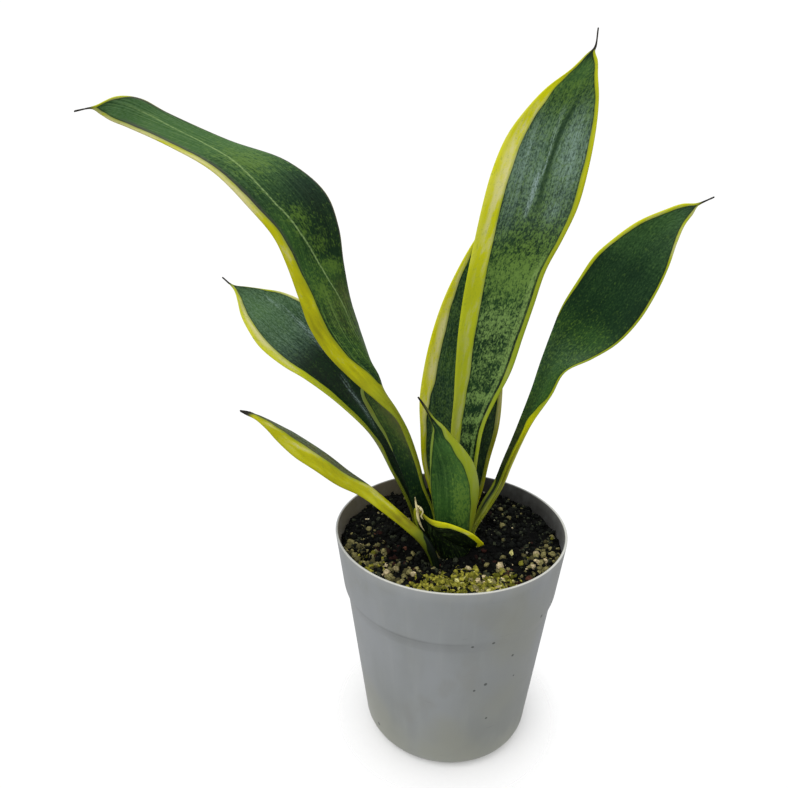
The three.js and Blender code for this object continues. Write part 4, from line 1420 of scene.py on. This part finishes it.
def add_bits(name, kind, material):
    """All bits of one kind, each a lumpy, stretched and tilted ball, as one piece."""
    dice = random.Random(kind["seed"] + 1)
    ball = basic_mesh("ball", bmesh.ops.create_icosphere, subdivisions=kind["facets"], radius=1)
    shape = np.array([v.co for v in ball.vertices])
    corners = [list(polygon.vertices) for polygon in ball.polygons]
    bpy.data.meshes.remove(ball)
    small, large, flat = kind["small"], kind["large"], kind["flat"]
    points, faces, tones = [], [], []
    for x, y, *given in scatter(kind) + kind["stones"]:
        size = given[0] if given else small + (large - small) * dice.random() ** 2
        shift = Vector((dice.random(), dice.random(), dice.random())) * BIT["noise_span"]
        lumps = [noise.noise(Vector(p) * BIT["noise_scale"] + shift) for p in shape]
        swell = 1 + kind["lumpy"] * np.array(lumps)[:, None]
        stretch = np.array([1.0, dice.uniform(*BIT["width"]), dice.uniform(*BIT["height"]) * flat])
        tilt = Euler([dice.uniform(*BIT[turn]) for turn in ("tilt", "tilt", "turn")])
        body = shape * swell * stretch * size @ np.array(tilt.to_matrix()).T
        rise = size * flat * (0.5 - kind["sunk"])
        faces += [tuple(len(points) + i for i in corner) for corner in corners]
        points += list(body + np.array([x, y, soil_relief(x, y) + rise]))
        tones += [given[1] if given else dice.random()] * len(shape)
    piece = add_piece(name, points, faces, material)
    add_numbers(piece, "tone", tones)


def build_mix():
    """The bed of potting mix and the loose bits that lie on it."""
    build_soil_bed(soil_material())
    for name, own in BITS.items():
        kind = {**PLAIN_BITS, **own}
        add_bits(name, kind, bit_material(name, kind["colours"], kind["rare_from"]))


def colour_rhizome(material):
    """The buried stem and roots keep their solid and get a material of their own."""
    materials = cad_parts["rhizome"].data.materials
    materials.clear()
    materials.append(material)


# --- set and light


def build_floor():
    """A pale floor that fades into the white background round the object."""
    g = Graph("studio_floor")
    across, along, _ = g.separate(g.place())
    squares = [g.math("POWER", side, 2.0) for side in (across, along)]
    reach = g.math("SQRT", g.add(*squares))
    pale = g.node("BsdfDiffuse", FLOOR_PALE).outputs[0]
    clear = g.node("BsdfTransparent").outputs[0]
    fading = g.step(reach, FLOOR["full"], FLOOR["gone"])
    sizes = {"cap_ends": True, "segments": FLOOR["sides"], "radius": FLOOR["radius"]}
    floor = add_object("floor", basic_mesh("floor", bmesh.ops.create_circle, **sizes))
    floor.data.materials.append(g.finish(g.node("MixShader", fading, pale, clear)))
    floor.location.z = FLOOR["height"]


def build_backdrop():
    """A white shell round the set, which the camera sees and which lights nothing."""
    g = Graph("studio_backdrop")
    sizes = {"subdivisions": 4, "radius": BACKDROP["radius"]}
    shell = add_object("backdrop", basic_mesh("backdrop", bmesh.ops.create_icosphere, **sizes))
    shell.data.materials.append(g.finish(g.node("Emission", WHITE, BACKDROP["strength"])))
    for kind in ("diffuse", "glossy", "transmission", "volume_scatter", "shadow"):
        setattr(shell, "visible_" + kind, False)


def build_key_light():
    """A large soft lamp above the left front."""
    light = bpy.data.lights.new("key", "AREA")
    light.shape = "SQUARE"
    light.size = LIGHT["key_size"]
    light.energy = LIGHT["key_power"]
    lamp = add_object("key", light)
    lamp.location = LIGHT["key_place"]
    aim = Vector(LIGHT["key_target"]) - Vector(LIGHT["key_place"])
    lamp.rotation_euler = aim.to_track_quat("-Z", "Y").to_euler()


def build_world():
    """Soft studio light from all round, brightest overhead."""
    g = Graph("studio", "worlds")
    rise = g.separate(g.node("TexCoord").outputs["Generated"])[2]
    glow = g.step(rise, *LIGHT["rise"], LIGHT["horizon"], LIGHT["zenith"])
    bpy.context.scene.world = g.finish(g.node("Background", WHITE, glow), "OutputWorld")


def build_camera():
    data = bpy.data.cameras.new("camera")
    data.sensor_width = CAMERA["sensor"]
    data.lens = CAMERA["lens"]
    data.clip_start = CAMERA["clip_start"]
    camera = add_object("camera", data)
    camera.location = CAMERA["place"]
    camera.rotation_euler = (math.radians(90 - CAMERA["pitch_down"]), 0, 0)
    bpy.context.scene.camera = camera


# --- build

bpy.context.scene.view_settings.view_transform = "Standard"
build_camera()
build_world()
build_backdrop()
build_floor()
build_key_light()
build_pot(pot_material())
build_mix()
colour_rhizome(rhizome_material())
for seed, (node, rows) in enumerate(LEAVES.items()):
    build_leaf(node, rows, LOOKS[node], SPOTS.get(node, []), leaf_material(node + "_skin", seed))
build_fibre(fibre_material())
